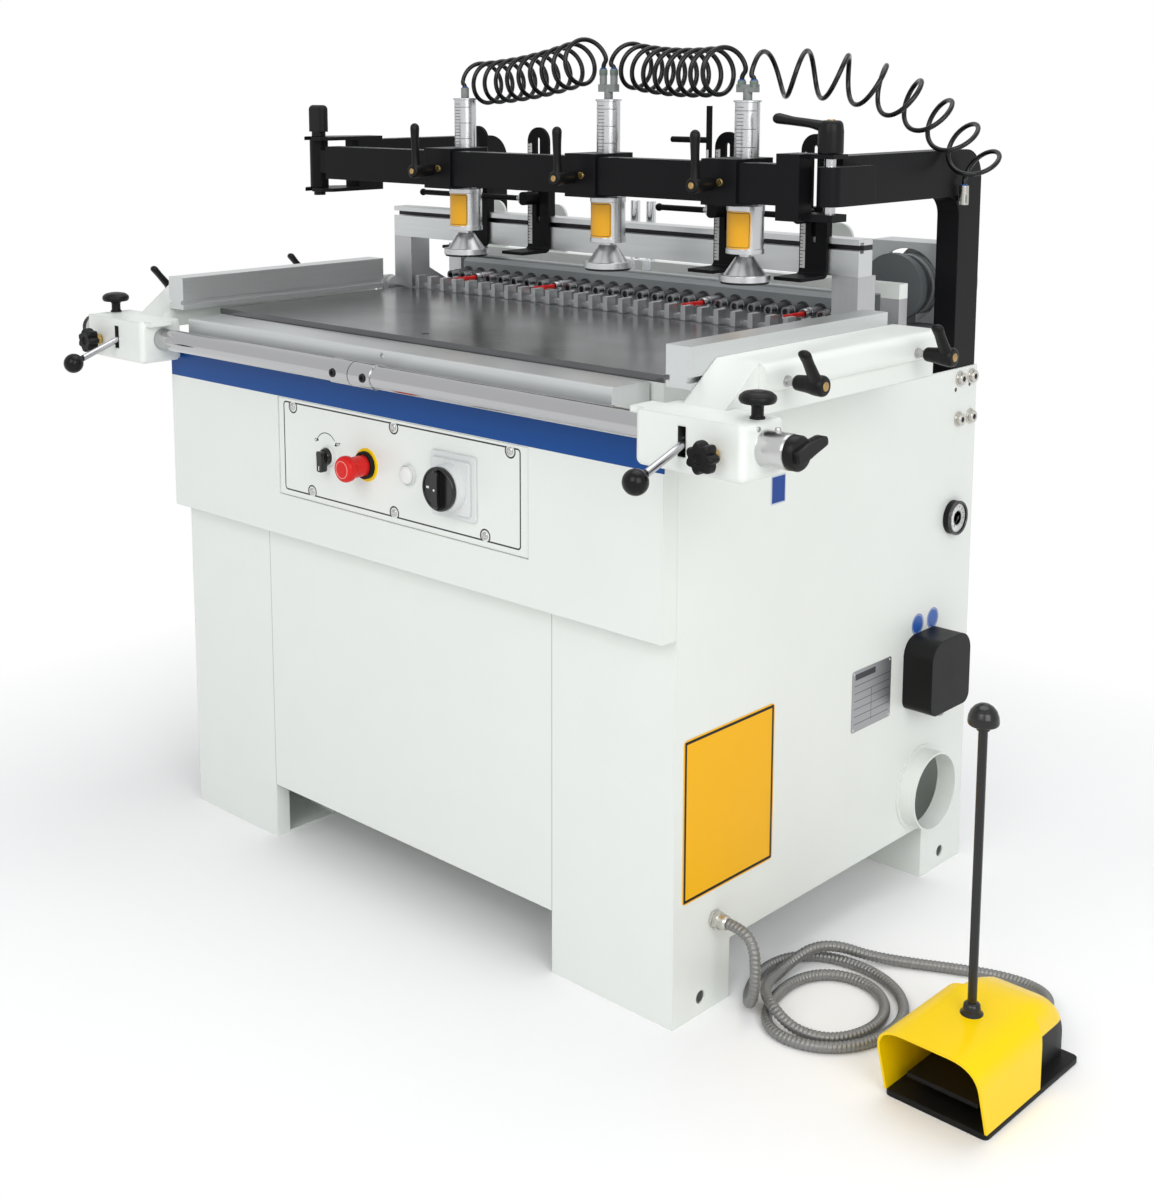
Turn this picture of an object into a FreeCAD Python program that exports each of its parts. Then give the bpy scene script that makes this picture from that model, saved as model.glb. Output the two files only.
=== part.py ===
"""Dowel boring machine: a floor-standing single-head machine with 27 spindles and a foot pedal.

Machine coordinates: X runs along the spindle row, Y goes back from the front panel and Z is
up from the floor. Every finished sub-part is then moved by the datum, which puts the origin
under the middle of the whole machine.
"""
import FreeCAD
import Part

import math
import os
import re

import Sketcher
from FreeCAD import Placement, Rotation, Vector

SIZES = {
    # Datum: from machine coordinates to the middle of the footprint
    "datum_x": -115.5, "datum_y": -292.2,
    # Fits and overruns
    "sheet_wall": 3.0, "slide_gap": 0.3, "pin_gap": 0.08, "cut_over": 2.0,
    # Cabinet
    "cab_width": 1045.0, "cab_depth": 714.0, "cab_height": 790.0,
    "leg_width": 214.5, "leg_return": 25.5, "foot_front": 119.0, "foot_rear": 115.5,
    "side_arch": 84.5, "front_arch": 90.5,
    "foot_hole_radius": 9.0, "foot_hole_in": 58.0, "foot_hole_up": 24.0,
    # Frame under the table
    "beam_size": 40.0, "beam_rear": 300.0, "rail_in": 430.0, "rail_rear": 384.0,
    "ear_wall": 8.0, "ear_half": 20.0, "ear_root": 380.0,
    # Table
    "table_thick": 10.0, "table_width": 940.0, "table_front": 34.0,
    "table_rear_gap": 4.0, "table_hole_radius": 6.0, "table_hole_x": -12.0,
    "table_hole_in": 35.0,
    # Apron box with the recess for the control plate
    "apron_out": 28.0, "recess_left": -242.0,
    "recess_width": 534.0, "recess_height": 152.0,
    "recess_deep": 4.0,
    # Control plate and its controls
    "plate_margin": 1.0, "plate_thick": 2.5, "selector_x": -122.0,
    "stop_x": -36.0, "start_x": 56.0, "mains_x": 150.0, "mains_width": 90.0,
    "mains_height": 116.0, "mains_depth": 10.0, "mains_round": 10.0,
    "bezel_radius": 15.0, "bezel_depth": 4.0, "control_stem": 5.0,
    "selector_radius": 13.0, "selector_depth": 16.0, "selector_grip": 6.0,
    "selector_bar": 12.0, "stop_ring_radius": 25.0, "stop_ring_depth": 6.0,
    "stop_stem_radius": 12.0, "stop_stem": 26.0, "stop_head_radius": 20.0,
    "stop_head_depth": 16.0, "stop_head_round": 5.0,
    "start_radius": 10.5, "start_proud": 5.0, "start_bezel_radius": 15.0,
    "mains_hub_radius": 22.0, "mains_hub_depth": 12.0, "mains_grip": 10.0,
    "mains_bar": 18.0, "screw_radius": 5.0, "screw_head": 2.0, "screw_in": 13.0,
    # Front rail and front bar
    "rail_front": -42.0, "rail_depth": 72.0, "rail_length": 900.0,
    "rail_lip": 4.0, "rail_groove": 8.0, "rail_groove_deep": 5.0, "rail_groove_down": 26.0,
    "rail_hole_radius": 4.0, "rail_hole_x": 19.0, "rail_hole_down": 8.0,
    "bar_radius": 17.0, "bar_y": -66.0, "bar_length": 1300.0,
    "joint_width": 92.0, "joint_sleeve": 1.5, "joint_screw_radius": 6.0,
    "joint_screw_head": 3.0, "joint_screw_left": -39.0, "joint_screw_pitch": 65.0,
    "bar_stand_radius": 8.0, "bar_stand_pitch": 400.0,
    # Side units: distances run outward from the fence face that touches the work
    "unit_right": 529.0, "unit_left": 475.0, "fence_width": 38.0, "fence_length": 424.0,
    "fence_front": -34.0, "fence_height": 52.0, "fence_lift": 2.0, "fence_groove": 7.0,
    "fence_groove_deep": 6.0, "fence_groove_up": 8.0,
    "box_in": 12.0, "box_out": 172.0, "box_front": -106.0, "box_depth": 76.0,
    "box_height": 68.0, "box_round": 9.0, "wing_reach": 14.0,
    "wing_depth": 40.0, "wing_thick": 8.0, "arm_out": 113.0, "arm_front": 14.0,
    "arm_back": 404.0,
    "arm_web_in": 11.0, "arm_round": 12.0, "riser_front": -60.0, "riser_back": 60.0,
    "sleeve_radius": 21.0, "sleeve_length": 36.0, "cap_radius": 20.5, "cap_depth": 12.0,
    "cap_wing": 34.0, "cap_wing_thick": 8.0, "cap_wing_deep": 20.0,
    "slot_out": 84.0, "slot_height": 36.0, "slot_width": 12.0, "slot_deep": 20.0,
    "ball_radius": 15.5, "ball_rod_radius": 5.0, "ball_rod_length": 98.0,
    "ball_rod_lean": 20.0, "ball_pin_in": 12.0, "ball_pin_radius": 2.5,
    "ball_eye_radius": 6.0, "ball_eye_width": 11.0, "star_out": 132.0,
    "star_radius": 20.0, "star_depth": 20.0, "star_lobe_radius": 6.0, "star_stud": 30.0,
    "star_stud_radius": 6.0, "top_knob_out": 156.0, "top_knob_back": -60.0,
    "top_knob_radius": 22.0, "top_knob_depth": 16.0, "top_knob_stem": 17.0,
    "top_stem_radius": 8.0, "ratchet_near": 55.0, "ratchet_far": 345.0,
    "ratchet_stud": 14.0, "ratchet_stud_radius": 5.0,
    "ratchet_hub": 42.0, "ratchet_hub_radius": 11.0, "ratchet_arm": 54.0,
    "ratchet_arm_radius": 5.0, "ratchet_tip_radius": 8.0, "ratchet_lean": 40.0,
    # Support arms and the pressor beam
    "arm_face": 519.2, "mast_width": 36.0, "mast_depth": 61.0, "mast_front": 650.0,
    "reach_front": 345.0,
    "reach_round": 44.0, "reach_inner_round": 30.0, "hinge_x": 532.0, "hinge_y": 296.0,
    "hinge_radius": 8.0, "lug_plate": 6.0, "lug_half": 24.0,
    "lug_chamfer": 14.0, "lug_rear": 400.0, "lug_mouth": 17.0,
    "neck_half": 17.0, "neck_rear": 380.0,
    "mast_bolt_radius": 9.0, "mast_bolt_head": 7.0, "mast_bolt_front": 664.0,
    "mast_bolt_pitch": 34.0, "mast_bolt_rise": 62.0,
    "beam_front": 264.0, "beam_depth": 30.0, "beam_height": 55.0,
    "beam_left": -474.0, "beam_right": 505.0, "beam_wall": 3.0, "barrel_radius": 16.0,
    "barrel_strap": 10.0, "strap_trim": 8.0, "jaw_bottom_thick": 10.0,
    "jaw_top_thick": 6.0, "jaw_left": 468.0, "jaw_over": 16.0,
    "jaw_half": 17.0,
    "pin_radius": 7.0, "pin_collar_radius": 12.0, "pin_collar": 8.0, "pin_knob_width": 40.0,
    "pin_knob_thick": 18.0, "pin_knob_height": 46.0, "pin_knob_round": 8.0,
    "pin_nut_radius": 10.0, "pin_nut": 7.0,
    "clamp_hub": 44.0, "clamp_hub_radius": 17.0, "clamp_arm": 90.0, "clamp_arm_radius": 6.5,
    "clamp_tip_radius": 10.0, "clamp_rise": 8.0,
    # Pressors
    "pressor_1": -190.0, "pressor_2": 118.5, "pressor_3": 375.0, "bracket_width": 60.0,
    "bracket_wall": 4.0, "bracket_rear": 349.0, "bracket_round": 8.0, "column_y": 323.0,
    "tube_radius": 17.5, "cylinder_radius": 27.0,
    "cylinder_rim": 7.0,
    "cylinder_waist": 1.0, "foot_rod_radius": 8.0, "foot_rod_up": 50.0,
    "foot_rod_bore": 54.0, "foot_radius": 36.0, "foot_disc": 9.0, "foot_pad": 3.0,
    "foot_pad_in": 2.0, "cone_radius": 30.0, "cone_top_radius": 13.0,
    "cone_height": 25.0, "washer_radius": 19.5, "washer_thick": 2.5,
    "fitting_radius": 6.5, "fitting_height": 16.5, "branch_half": 10.5,
    "branch_2": 46.5, "branch_3": 29.5, "branch_radius": 5.5,
    "lever_out": 14.0, "lever_hub": 46.0, "lever_hub_radius": 11.0,
    "lever_arm": 74.0, "lever_arm_radius": 4.5, "lever_tip_radius": 7.5,
    "brass_radius": 5.0, "brass_aside": 3.0, "brass_head": 2.0,
    # Tilting frame
    "tilt_y": 432.0, "post_size": 44.0, "post_in": 447.0,
    "tilt_rail_width": 32.0, "tilt_rail_in": 449.0,
    "tilt_rear": 706.0,
    "cross_depth": 16.0, "cross_height": 26.0, "saddle_front": 446.0,
    "gusset_thick": 8.0, "gusset_back": 525.0,
    "trunnion_plate": 8.0, "trunnion_half": 18.0, "trunnion_boss_radius": 14.0,
    "trunnion_radius": 8.0, "guide_radius": 10.0, "guide_x": 300.0,
    "bridge_front": 556.0, "bridge_depth": 22.0, "bridge_gap": 6.0, "bridge_thick": 16.0,
    "hood_thick": 5.0, "hood_width": 60.0, "hood_round": 22.0,
    "hood_x_1": -381.0, "hood_x_2": -231.0, "hood_x_3": 356.0,
    "gas_radius": 8.0, "gas_x": -20.0, "gas_half": 17.0,
    # Comb and stop rail
    "spindle_pitch": 32.0, "tine_width": 9.0, "tine_depth": 20.0,
    "tine_lift": 0.4, "comb_front": 446.0, "comb_half": 446.0, "comb_depth": 12.0,
    "stop_half": 491.0, "stop_depth": 34.0, "stop_height": 53.0, "stop_slot": 8.0,
    "stop_slot_down": 12.0, "stop_slot_deep": 12.0, "stop_lip": 3.0, "stop_core": 15.0,
    # Edge stops
    "edge_1": -270.5, "edge_2": -127.5, "edge_3": 261.5, "edge_4": 417.0,
    "edge_width": 47.0, "edge_thick": 5.0,
    "edge_slot": 8.0,
    "edge_foot_front": 366.0, "edge_bend": 12.0,
    "edge_hub": 30.0, "edge_hub_radius": 11.0, "edge_hub_aside": 6.0,
    "edge_lever": 104.0, "edge_lever_radius": 4.5, "edge_tip_radius": 6.0,
    "edge_lever_in": 6.0, "edge_saddle": 30.0,
    "edge_saddle_deep": 20.0, "edge_handle": 70.0,
    # Spindle head
    "head_half": 430.0, "head_front": 545.0, "head_depth": 95.0,
    "head_chamfer": 7.0, "nose_front": 498.0,
    "tip_radius": 8.0, "tip_length": 14.0, "nose_radius": 9.0, "nose_bore": 5.0,
    "nose_bore_deep": 12.0, "nose_seat": 14.0, "seal_radius": 12.5, "seal_depth": 3.0,
    "bit_radius": 4.0, "bit_length": 52.0, "bit_point": 5.0,
    "carriage_width": 90.0, "carriage_depth": 70.0, "carriage_in": 15.0,
    "motor_x": 415.0, "motor_radius": 48.0, "motor_length": 92.0,
    "flange_radius": 52.0, "flange_depth": 14.0,
    "fin_depth": 5.0, "fin_thick": 2.5, "cowl_radius": 63.0, "cowl_depth": 40.0,
    "guard_width": 130.0, "guard_wall": 2.0, "guard_front": 680.0, "guard_depth": 60.0,
    "guard_window": 57.0, "shelf_thick": 4.0,
    "motor_foot": 40.0,
    # Side panel fittings
    "port_y": 589.0, "port_up": 151.0, "port_radius": 60.0, "port_wall": 2.5,
    "port_length": 28.0, "port_rim": 6.0, "port_rim_thick": 2.0,
    "cover_front": 532.0, "cover_width": 108.0, "cover_depth": 49.0, "cover_bottom": 288.0,
    "cover_height": 112.0, "cover_round": 16.0, "cover_dome": 30.0,
    "gauge_y": 656.0, "gauge_up": 562.0, "gauge_radius": 26.0, "gauge_depth": 12.0,
    "gauge_ring": 4.0, "gauge_sunk": 3.0,
    "gland_y": 84.0, "gland_up": 126.0, "gland_radius": 13.0, "gland_nut": 10.0,
    "gland_nose_radius": 10.5, "gland_nose": 14.0,
    # Foot pedal
    "pedal_left": 796.0, "pedal_width": 138.0, "pedal_front": 72.0, "pedal_rear": 300.0,
    "pedal_base": 8.0, "hood_front_top": 43.0, "hood_rear": 200.0, "pedal_hood_up": 104.0,
    "hood_wall": 3.0, "hood_shoulder": 62.0, "hood_narrow": 12.0, "body_in": 16.0,
    "body_nose": 272.0, "body_nose_up": 60.0, "body_round": 10.0,
    "treadle_width": 96.0, "treadle_front": 88.0, "treadle_thick": 6.0,
    "treadle_up": 32.0, "treadle_hinge": 184.0, "treadle_boss": 7.0, "treadle_pin": 4.0,
    "handle_x": 868.0, "handle_y": 146.0, "handle_radius": 4.5, "handle_top": 478.0,
    "handle_boss_radius": 9.0, "handle_boss": 14.0, "dome_radius": 18.5, "dome_depth": 10.0,
    "dome_height": 18.0, "pedal_gland_radius": 11.0, "pedal_gland": 12.0,
    "pedal_gland_up": 22.0,
    # Cords and the fitting that the third hose plugs into
    "conduit_radius": 7.5, "conduit_loop": 70.0, "route_share": 0.45,
    "hose_radius": 3.5, "hose_coil": 32.0,
    "mast_fitting_x": 529.0, "mast_fitting_y": 645.0,
    "mast_fitting_height": 28.0, "mast_fitting_radius": 7.0,
}
# Heights above the top edge of the cabinet
OVER_CABINET = {
    "apron_bottom": -264.0, "apron_top": 10.0, "recess_bottom": -199.0, "control_up": -122.0,
    "rear_wall_top": -230.0, "mast_bottom": -230.0, "mast_bolt_low": -78.0, "table_top": 62.0,
}
# Heights above the top of the table
OVER_TABLE = {
    "ear_waist": -37.0, "bar_up": -42.0, "rail_top": -8.0, "spindle_up": 20.0,
    "head_bottom": -14.0, "head_top": 48.0, "motor_up": 53.0, "guard_bottom": -2.0,
    "guard_top": 120.0, "tine_top": 23.0, "comb_top": 8.0, "post_bottom": 2.0,
    "stop_bottom": 91.0, "tilt_rail_bottom": -40.0, "tilt_rail_top": -8.0, "gusset_high": 34.0,
    "gusset_low": 7.0, "hood_top": 152.0, "gas_top": 168.0, "edge_top": 290.0,
    "edge_bottom": 86.0, "edge_slot_low": 138.0, "edge_slot_high": 270.0,
    "edge_lever_up": 175.0, "edge_handle_up": 278.0, "edge_post_top": 328.0,
    "reach_bottom": 196.0, "reach_top": 264.0, "lug_bottom": 176.0, "neck_bottom": 200.0,
    "neck_top": 252.0, "beam_bottom": 200.0, "jaw_bottom": 180.0, "jaw_top": 269.0,
    "tube_top": 335.0, "cylinder_bottom": 126.0, "cylinder_top": 193.0, "foot_bottom": 84.0,
    "lever_up": 224.0, "mast_fitting_top": 212.0,
}
# Heights above the middle of the front bar
OVER_BAR = {
    "box_bottom": -38.0, "star_up": -8.0, "arm_bottom": 14.0, "arm_ledge": 40.0,
    "arm_top": 78.0, "ratchet_up": 53.0,
}
HEIGHTS = (("cab_height", OVER_CABINET), ("table_top", OVER_TABLE), ("bar_up", OVER_BAR))

doc = FreeCAD.newDocument("dowel_boring_machine")
sheet = doc.addObject("Spreadsheet::Sheet", "sizes")
cells = [(alias, str(value)) for alias, value in SIZES.items()]
for base, heights in HEIGHTS:
    cells += [(alias, "=%s + (%s)" % (base, value)) for alias, value in heights.items()]
for row, (alias, content) in enumerate(cells, 1):
    sheet.set("A%d" % row, alias)
    sheet.set("B%d" % row, content)
    sheet.setAlias("B%d" % row, alias)
doc.recompute()
ALIASES = {alias for alias, content in cells}

ALONG_X = Rotation(Vector(0, 1, 0), 90)
ALONG_Y = Rotation(Vector(1, 0, 0), -90)
TO_FRONT = Rotation(Vector(1, 0, 0), 90)
TO_LEFT = Rotation(Vector(0, 1, 0), -90)
NODES = []


def linked(text):
    """An expression in aliases, with each alias pointed at the sheet."""
    return re.sub(r"[a-z]\w*", lambda found: "sizes." + found.group(0)
                  if found.group(0) in ALIASES else found.group(0), text)


def value_of(text):
    """The present value of an expression in aliases."""
    result = sheet.evalExpression(linked(text))
    return float(getattr(result, "Value", result))


def bind(thing, prop, text):
    thing.setExpression(prop, linked(text))


def put(thing, x="0", y="0", z="0", rotation=None):
    """Place a feature by three expressions, and turn it if a rotation is given."""
    if rotation:
        thing.Placement = Placement(Vector(), rotation)
    for axis, text in zip("xyz", (x, y, z)):
        bind(thing, "Placement.Base." + axis, text)
    return thing


def block(name, x, y, z, length, width, height):
    box = doc.addObject("Part::Box", name)
    for prop, text in (("Length", length), ("Width", width), ("Height", height)):
        bind(box, prop, text)
    return put(box, x, y, z)


def rod(name, x, y, z, radius, height, rotation=None):
    cylinder = doc.addObject("Part::Cylinder", name)
    bind(cylinder, "Radius", radius)
    bind(cylinder, "Height", height)
    return put(cylinder, x, y, z, rotation)


def taper(name, x, y, z, radius, end_radius, height, rotation=None):
    cone = doc.addObject("Part::Cone", name)
    bind(cone, "Radius1", radius)
    bind(cone, "Radius2", end_radius)
    bind(cone, "Height", height)
    return put(cone, x, y, z, rotation)


def ball(name, x, y, z, radius):
    sphere = doc.addObject("Part::Sphere", name)
    bind(sphere, "Radius", radius)
    return put(sphere, x, y, z)


def joined(name, parts):
    fusion = doc.addObject("Part::MultiFuse", name)
    fusion.Shapes = parts
    fusion.Refine = True
    return fusion


def without(name, base, tools):
    cut = doc.addObject("Part::Cut", name)
    cut.Base = base
    cut.Tool = tools[0] if len(tools) == 1 else joined(name + "_tools", tools)
    return cut


def rounded(name, base, radius, wanted):
    """Fillet the edges whose middle and direction pass the wanted test."""
    doc.recompute()
    fillet = doc.addObject("Part::Fillet", name)
    fillet.Base = base
    amount = value_of(radius)
    picked = [number for number, edge in enumerate(base.Shape.Edges, 1)
              if isinstance(edge.Curve, Part.Line)
              and wanted(edge.CenterOfMass, edge.Curve.Direction)]
    if not picked:
        raise ValueError(name + " finds no edge to round")
    fillet.Edges = [(number, amount, amount) for number in picked]
    return fillet


def runs_along(direction, axis):
    """Whether a direction runs along the X, Y or Z axis, given by its number."""
    return abs(direction[axis]) > 0.999


def outline(name, role, corners, depth, rounds=(), x="0", y="0", z="0", back=False):
    """A body padded from a sketch whose corners are bound to the sheet.

    The corners are pairs of expressions in the sketch's own two directions. rounds holds
    pairs of corner numbers and a radius, for fillets on the edges that those corners draw.
    """
    body = doc.addObject("PartDesign::Body", name)
    sketch = body.newObject("Sketcher::SketchObject", name + "_sketch")
    plane = next(f for f in body.Origin.OriginFeatures if f.Role == role)
    sketch.AttachmentSupport = [(plane, "")]
    sketch.MapMode = "FlatFace"
    points = [Vector(value_of(across), value_of(up), 0) for across, up in corners]
    count = len(points)
    for number in range(count):
        sketch.addGeometry(Part.LineSegment(points[number], points[(number + 1) % count]))
    for number in range(count):
        sketch.addConstraint(Sketcher.Constraint(
            "Coincident", number, 2, (number + 1) % count, 1))
    for number, pair in enumerate(corners):
        for kind, text, amount in zip(("DistanceX", "DistanceY"), pair, points[number]):
            index = sketch.addConstraint(
                Sketcher.Constraint(kind, -1, 1, number, 1, amount))
            label = "%s_%d" % (kind, number)
            sketch.renameConstraint(index, label)
            bind(sketch, "Constraints." + label, text)
    pad = body.newObject("PartDesign::Pad", name + "_pad")
    pad.Profile = sketch
    pad.Reversed = back
    bind(pad, "Length", depth)
    doc.recompute()
    for radius, numbers in rounds:
        before = body.Tip
        edges = [edge_at(before.Shape, sketch, points[number]) for number in numbers]
        fillet = body.newObject("PartDesign::Fillet", "%s_%s" % (name, numbers[0]))
        fillet.Base = (before, edges)
        bind(fillet, "Radius", radius)
        doc.recompute()
    return put(body, x, y, z)


def edge_at(shape, sketch, point):
    """The name of the edge that the pad draws from this corner of its sketch."""
    corner = Part.Vertex(sketch.Placement.multVec(point))
    normal = sketch.Placement.Rotation.multVec(Vector(0, 0, 1))
    for number, edge in enumerate(shape.Edges, 1):
        if isinstance(edge.Curve, Part.Line) and abs(edge.Curve.Direction * normal) > 0.999:
            if edge.distToShape(corner)[0] < 1e-4:
                return "Edge%d" % number
    raise ValueError("no edge runs through that corner")


def node(name, *parts):
    """Finish a sub-part from one or more separate solids, and move it by the datum."""
    finished = doc.addObject("Part::Compound", name)
    finished.Label = name
    finished.Links = list(parts)
    put(finished, "datum_x", "datum_y")
    NODES.append(finished)
    return finished


def make_cabinet():
    """Sheet-metal cabinet on four box feet, open at the top and low at the back."""
    outside = block("cabinet_outside", "-cab_width / 2", "0", "0",
                    "cab_width", "cab_depth", "cab_height")
    inside = block("cabinet_inside", "sheet_wall - cab_width / 2", "sheet_wall",
                   "-cut_over", "cab_width - 2 * sheet_wall",
                   "cab_depth - 2 * sheet_wall", "cab_height + 2 * cut_over")
    across = block("front_and_rear_arch", "leg_width - cab_width / 2", "-cut_over",
                   "-cut_over", "cab_width - 2 * leg_width", "cab_depth + 2 * cut_over",
                   "front_arch + cut_over")
    along = block("side_arches", "-cab_width / 2 - cut_over", "foot_front", "-cut_over",
                  "cab_width + 2 * cut_over", "cab_depth - foot_front - foot_rear",
                  "side_arch + cut_over")
    window = block("rear_window", "leg_return - cab_width / 2",
                   "cab_depth - sheet_wall - cut_over", "rear_wall_top",
                   "cab_width - 2 * leg_return", "sheet_wall + 2 * cut_over",
                   "cab_height - rear_wall_top + cut_over")
    port = rod("port_hole", "cab_width / 2 - sheet_wall - cut_over", "port_y", "port_up",
               "port_radius - port_wall", "sheet_wall + 2 * cut_over", ALONG_X)
    holes = [rod("foot_hole_%d" % number, "-cab_width / 2 - cut_over", place,
                 "foot_hole_up", "foot_hole_radius", "cab_width + 2 * cut_over", ALONG_X)
             for number, place in enumerate(("foot_hole_in", "cab_depth - foot_hole_in"))]
    shell = without("cabinet_shell", outside, [inside, across, along, window, port])
    feet = []
    for side, low in (("left", "-cab_width / 2"), ("right", "cab_width / 2 - leg_width")):
        inner = ("leg_width - cab_width / 2 - sheet_wall" if side == "left"
                 else "cab_width / 2 - leg_width")
        for end, start, depth, wall in (
                ("front", "0", "foot_front", "foot_front - sheet_wall"),
                ("rear", "cab_depth - foot_rear", "foot_rear", "cab_depth - foot_rear")):
            name = "%s_%s" % (side, end)
            feet += [
                block(name + "_sole", low, start, "0", "leg_width", depth, "sheet_wall"),
                block(name + "_cross", low, wall, "0", "leg_width", "sheet_wall",
                      "front_arch")]
            edge = "0" if end == "front" else "cab_depth - leg_return"
            feet.append(block(name + "_return", inner, edge, "0", "sheet_wall",
                              "leg_return", "front_arch"))
    node("cabinet", without("cabinet_drilled", joined("cabinet_welded", [shell] + feet),
                            holes))


def make_table_frame():
    """Beams across the cabinet, rails that carry the table, and the ears of the tilt axis."""
    inner_half = "(cab_width / 2 - sheet_wall)"
    parts = []
    for name, place in (("front_beam", "sheet_wall"), ("rear_beam", "beam_rear")):
        parts.append(block(name, "-" + inner_half, place, "cab_height - beam_size",
                           "2 * " + inner_half, "beam_size", "beam_size"))
    for name, low in (("left_rail", "-rail_in - beam_size"), ("middle_rail", "-beam_size / 2"),
                      ("right_rail", "rail_in")):
        parts.append(block(name, low, "table_front", "cab_height - beam_size / 2",
                           "beam_size", "rail_rear - table_front",
                           "table_top - table_thick - cab_height + beam_size / 2"))
    corners = [("beam_rear", "cab_height - beam_size"), ("beam_rear", "cab_height"),
               ("ear_root", "cab_height"), ("tilt_y - ear_half", "ear_waist"),
               ("tilt_y - ear_half", "table_top + trunnion_half"),
               ("tilt_y + ear_half", "table_top + trunnion_half"),
               ("tilt_y + ear_half", "cab_height - beam_size")]
    for side, low in (("left", "-" + inner_half), ("right", inner_half + " - ear_wall")):
        ear = outline(side + "_ear", "YZ_Plane", corners, "ear_wall",
                      rounds=[("ear_half / 2", (4, 5))], x=low)
        parts.append(ear)
    hole = rod("trunnion_hole", "-" + inner_half + " - cut_over", "tilt_y", "table_top",
               "trunnion_radius + pin_gap", "2 * %s + 2 * cut_over" % inner_half, ALONG_X)
    node("table_frame", without("table_frame_bored", joined("table_frame_welded", parts),
                                [hole]))


def make_table():
    plate = block("table_plate", "-table_width / 2", "table_front",
                  "table_top - table_thick", "table_width",
                  "tilt_y - table_rear_gap - table_front", "table_thick")
    hole = rod("table_hole", "table_hole_x", "table_front + table_hole_in",
               "table_top - table_thick - cut_over", "table_hole_radius",
               "table_thick + 2 * cut_over")
    node("table_top", without("table_plate_bored", plate, [hole]))


def make_apron():
    """Folded apron box on the cabinet's front, with the recess for the controls."""
    outside = block("apron_outside", "-cab_width / 2", "-apron_out", "apron_bottom",
                    "cab_width", "apron_out", "apron_top - apron_bottom")
    inside = block("apron_inside", "sheet_wall - cab_width / 2",
                   "sheet_wall + recess_deep - apron_out", "apron_bottom + sheet_wall",
                   "cab_width - 2 * sheet_wall", "apron_out - sheet_wall",
                   "apron_top - apron_bottom - 2 * sheet_wall")
    recess = block("apron_recess", "recess_left", "-apron_out - cut_over",
                   "recess_bottom", "recess_width", "recess_deep + cut_over",
                   "recess_height")
    node("front_apron", without("apron_folded", outside, [inside, recess]))


def make_control_plate():
    """Control plate with the screws, the mains switch plate and the rings of the controls."""
    face = "recess_deep - apron_out - plate_thick"
    low = "recess_left + plate_margin"
    wide = "recess_width - 2 * plate_margin"
    base = "recess_bottom + plate_margin"
    high = "recess_height - 2 * plate_margin"
    parts = [block("plate", low, face, base, wide, "plate_thick", high)]
    spots = [(low + " + screw_in", base + " + screw_in"),
             (low + " + screw_in", base + " + %s - screw_in" % high),
             (low + " + (%s) / 2" % wide, base + " + screw_in"),
             (low + " + (%s) / 2" % wide, base + " + %s - screw_in" % high),
             (low + " + %s - screw_in" % wide, base + " + screw_in"),
             (low + " + %s - screw_in" % wide, base + " + %s - screw_in" % high),
             (low + " + screw_in", base + " + (%s) / 2" % high)]
    for number, (x, z) in enumerate(spots):
        parts.append(rod("plate_screw_%d" % number, x, face, z, "screw_radius",
                         "screw_head", TO_FRONT))
    mains = block("mains_box", "mains_x - mains_width / 2", face + " - mains_depth",
                  "control_up - mains_height / 2", "mains_width", "mains_depth",
                  "mains_height")
    mains = rounded("mains_box_rounded", mains, "mains_round",
                    lambda middle, way: runs_along(way, 1))
    bore = rod("mains_bore", "mains_x", face, "control_up", "control_stem + pin_gap",
               "mains_depth + cut_over", TO_FRONT)
    parts.append(without("mains_box_bored", mains, [bore]))
    for name, x, radius, depth, stem in (
            ("selector", "selector_x", "bezel_radius", "bezel_depth", "control_stem"),
            ("stop", "stop_x", "stop_ring_radius", "stop_ring_depth", "stop_stem_radius"),
            ("start", "start_x", "start_bezel_radius", "bezel_depth", "start_radius")):
        ring = rod(name + "_ring_disc", x, face, "control_up", radius, depth, TO_FRONT)
        hole = rod(name + "_ring_hole", x, face + " + cut_over", "control_up",
                   stem + " + pin_gap", depth + " + 2 * cut_over", TO_FRONT)
        parts.append(without(name + "_ring", ring, [hole]))
    node("control_plate", *parts)


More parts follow.
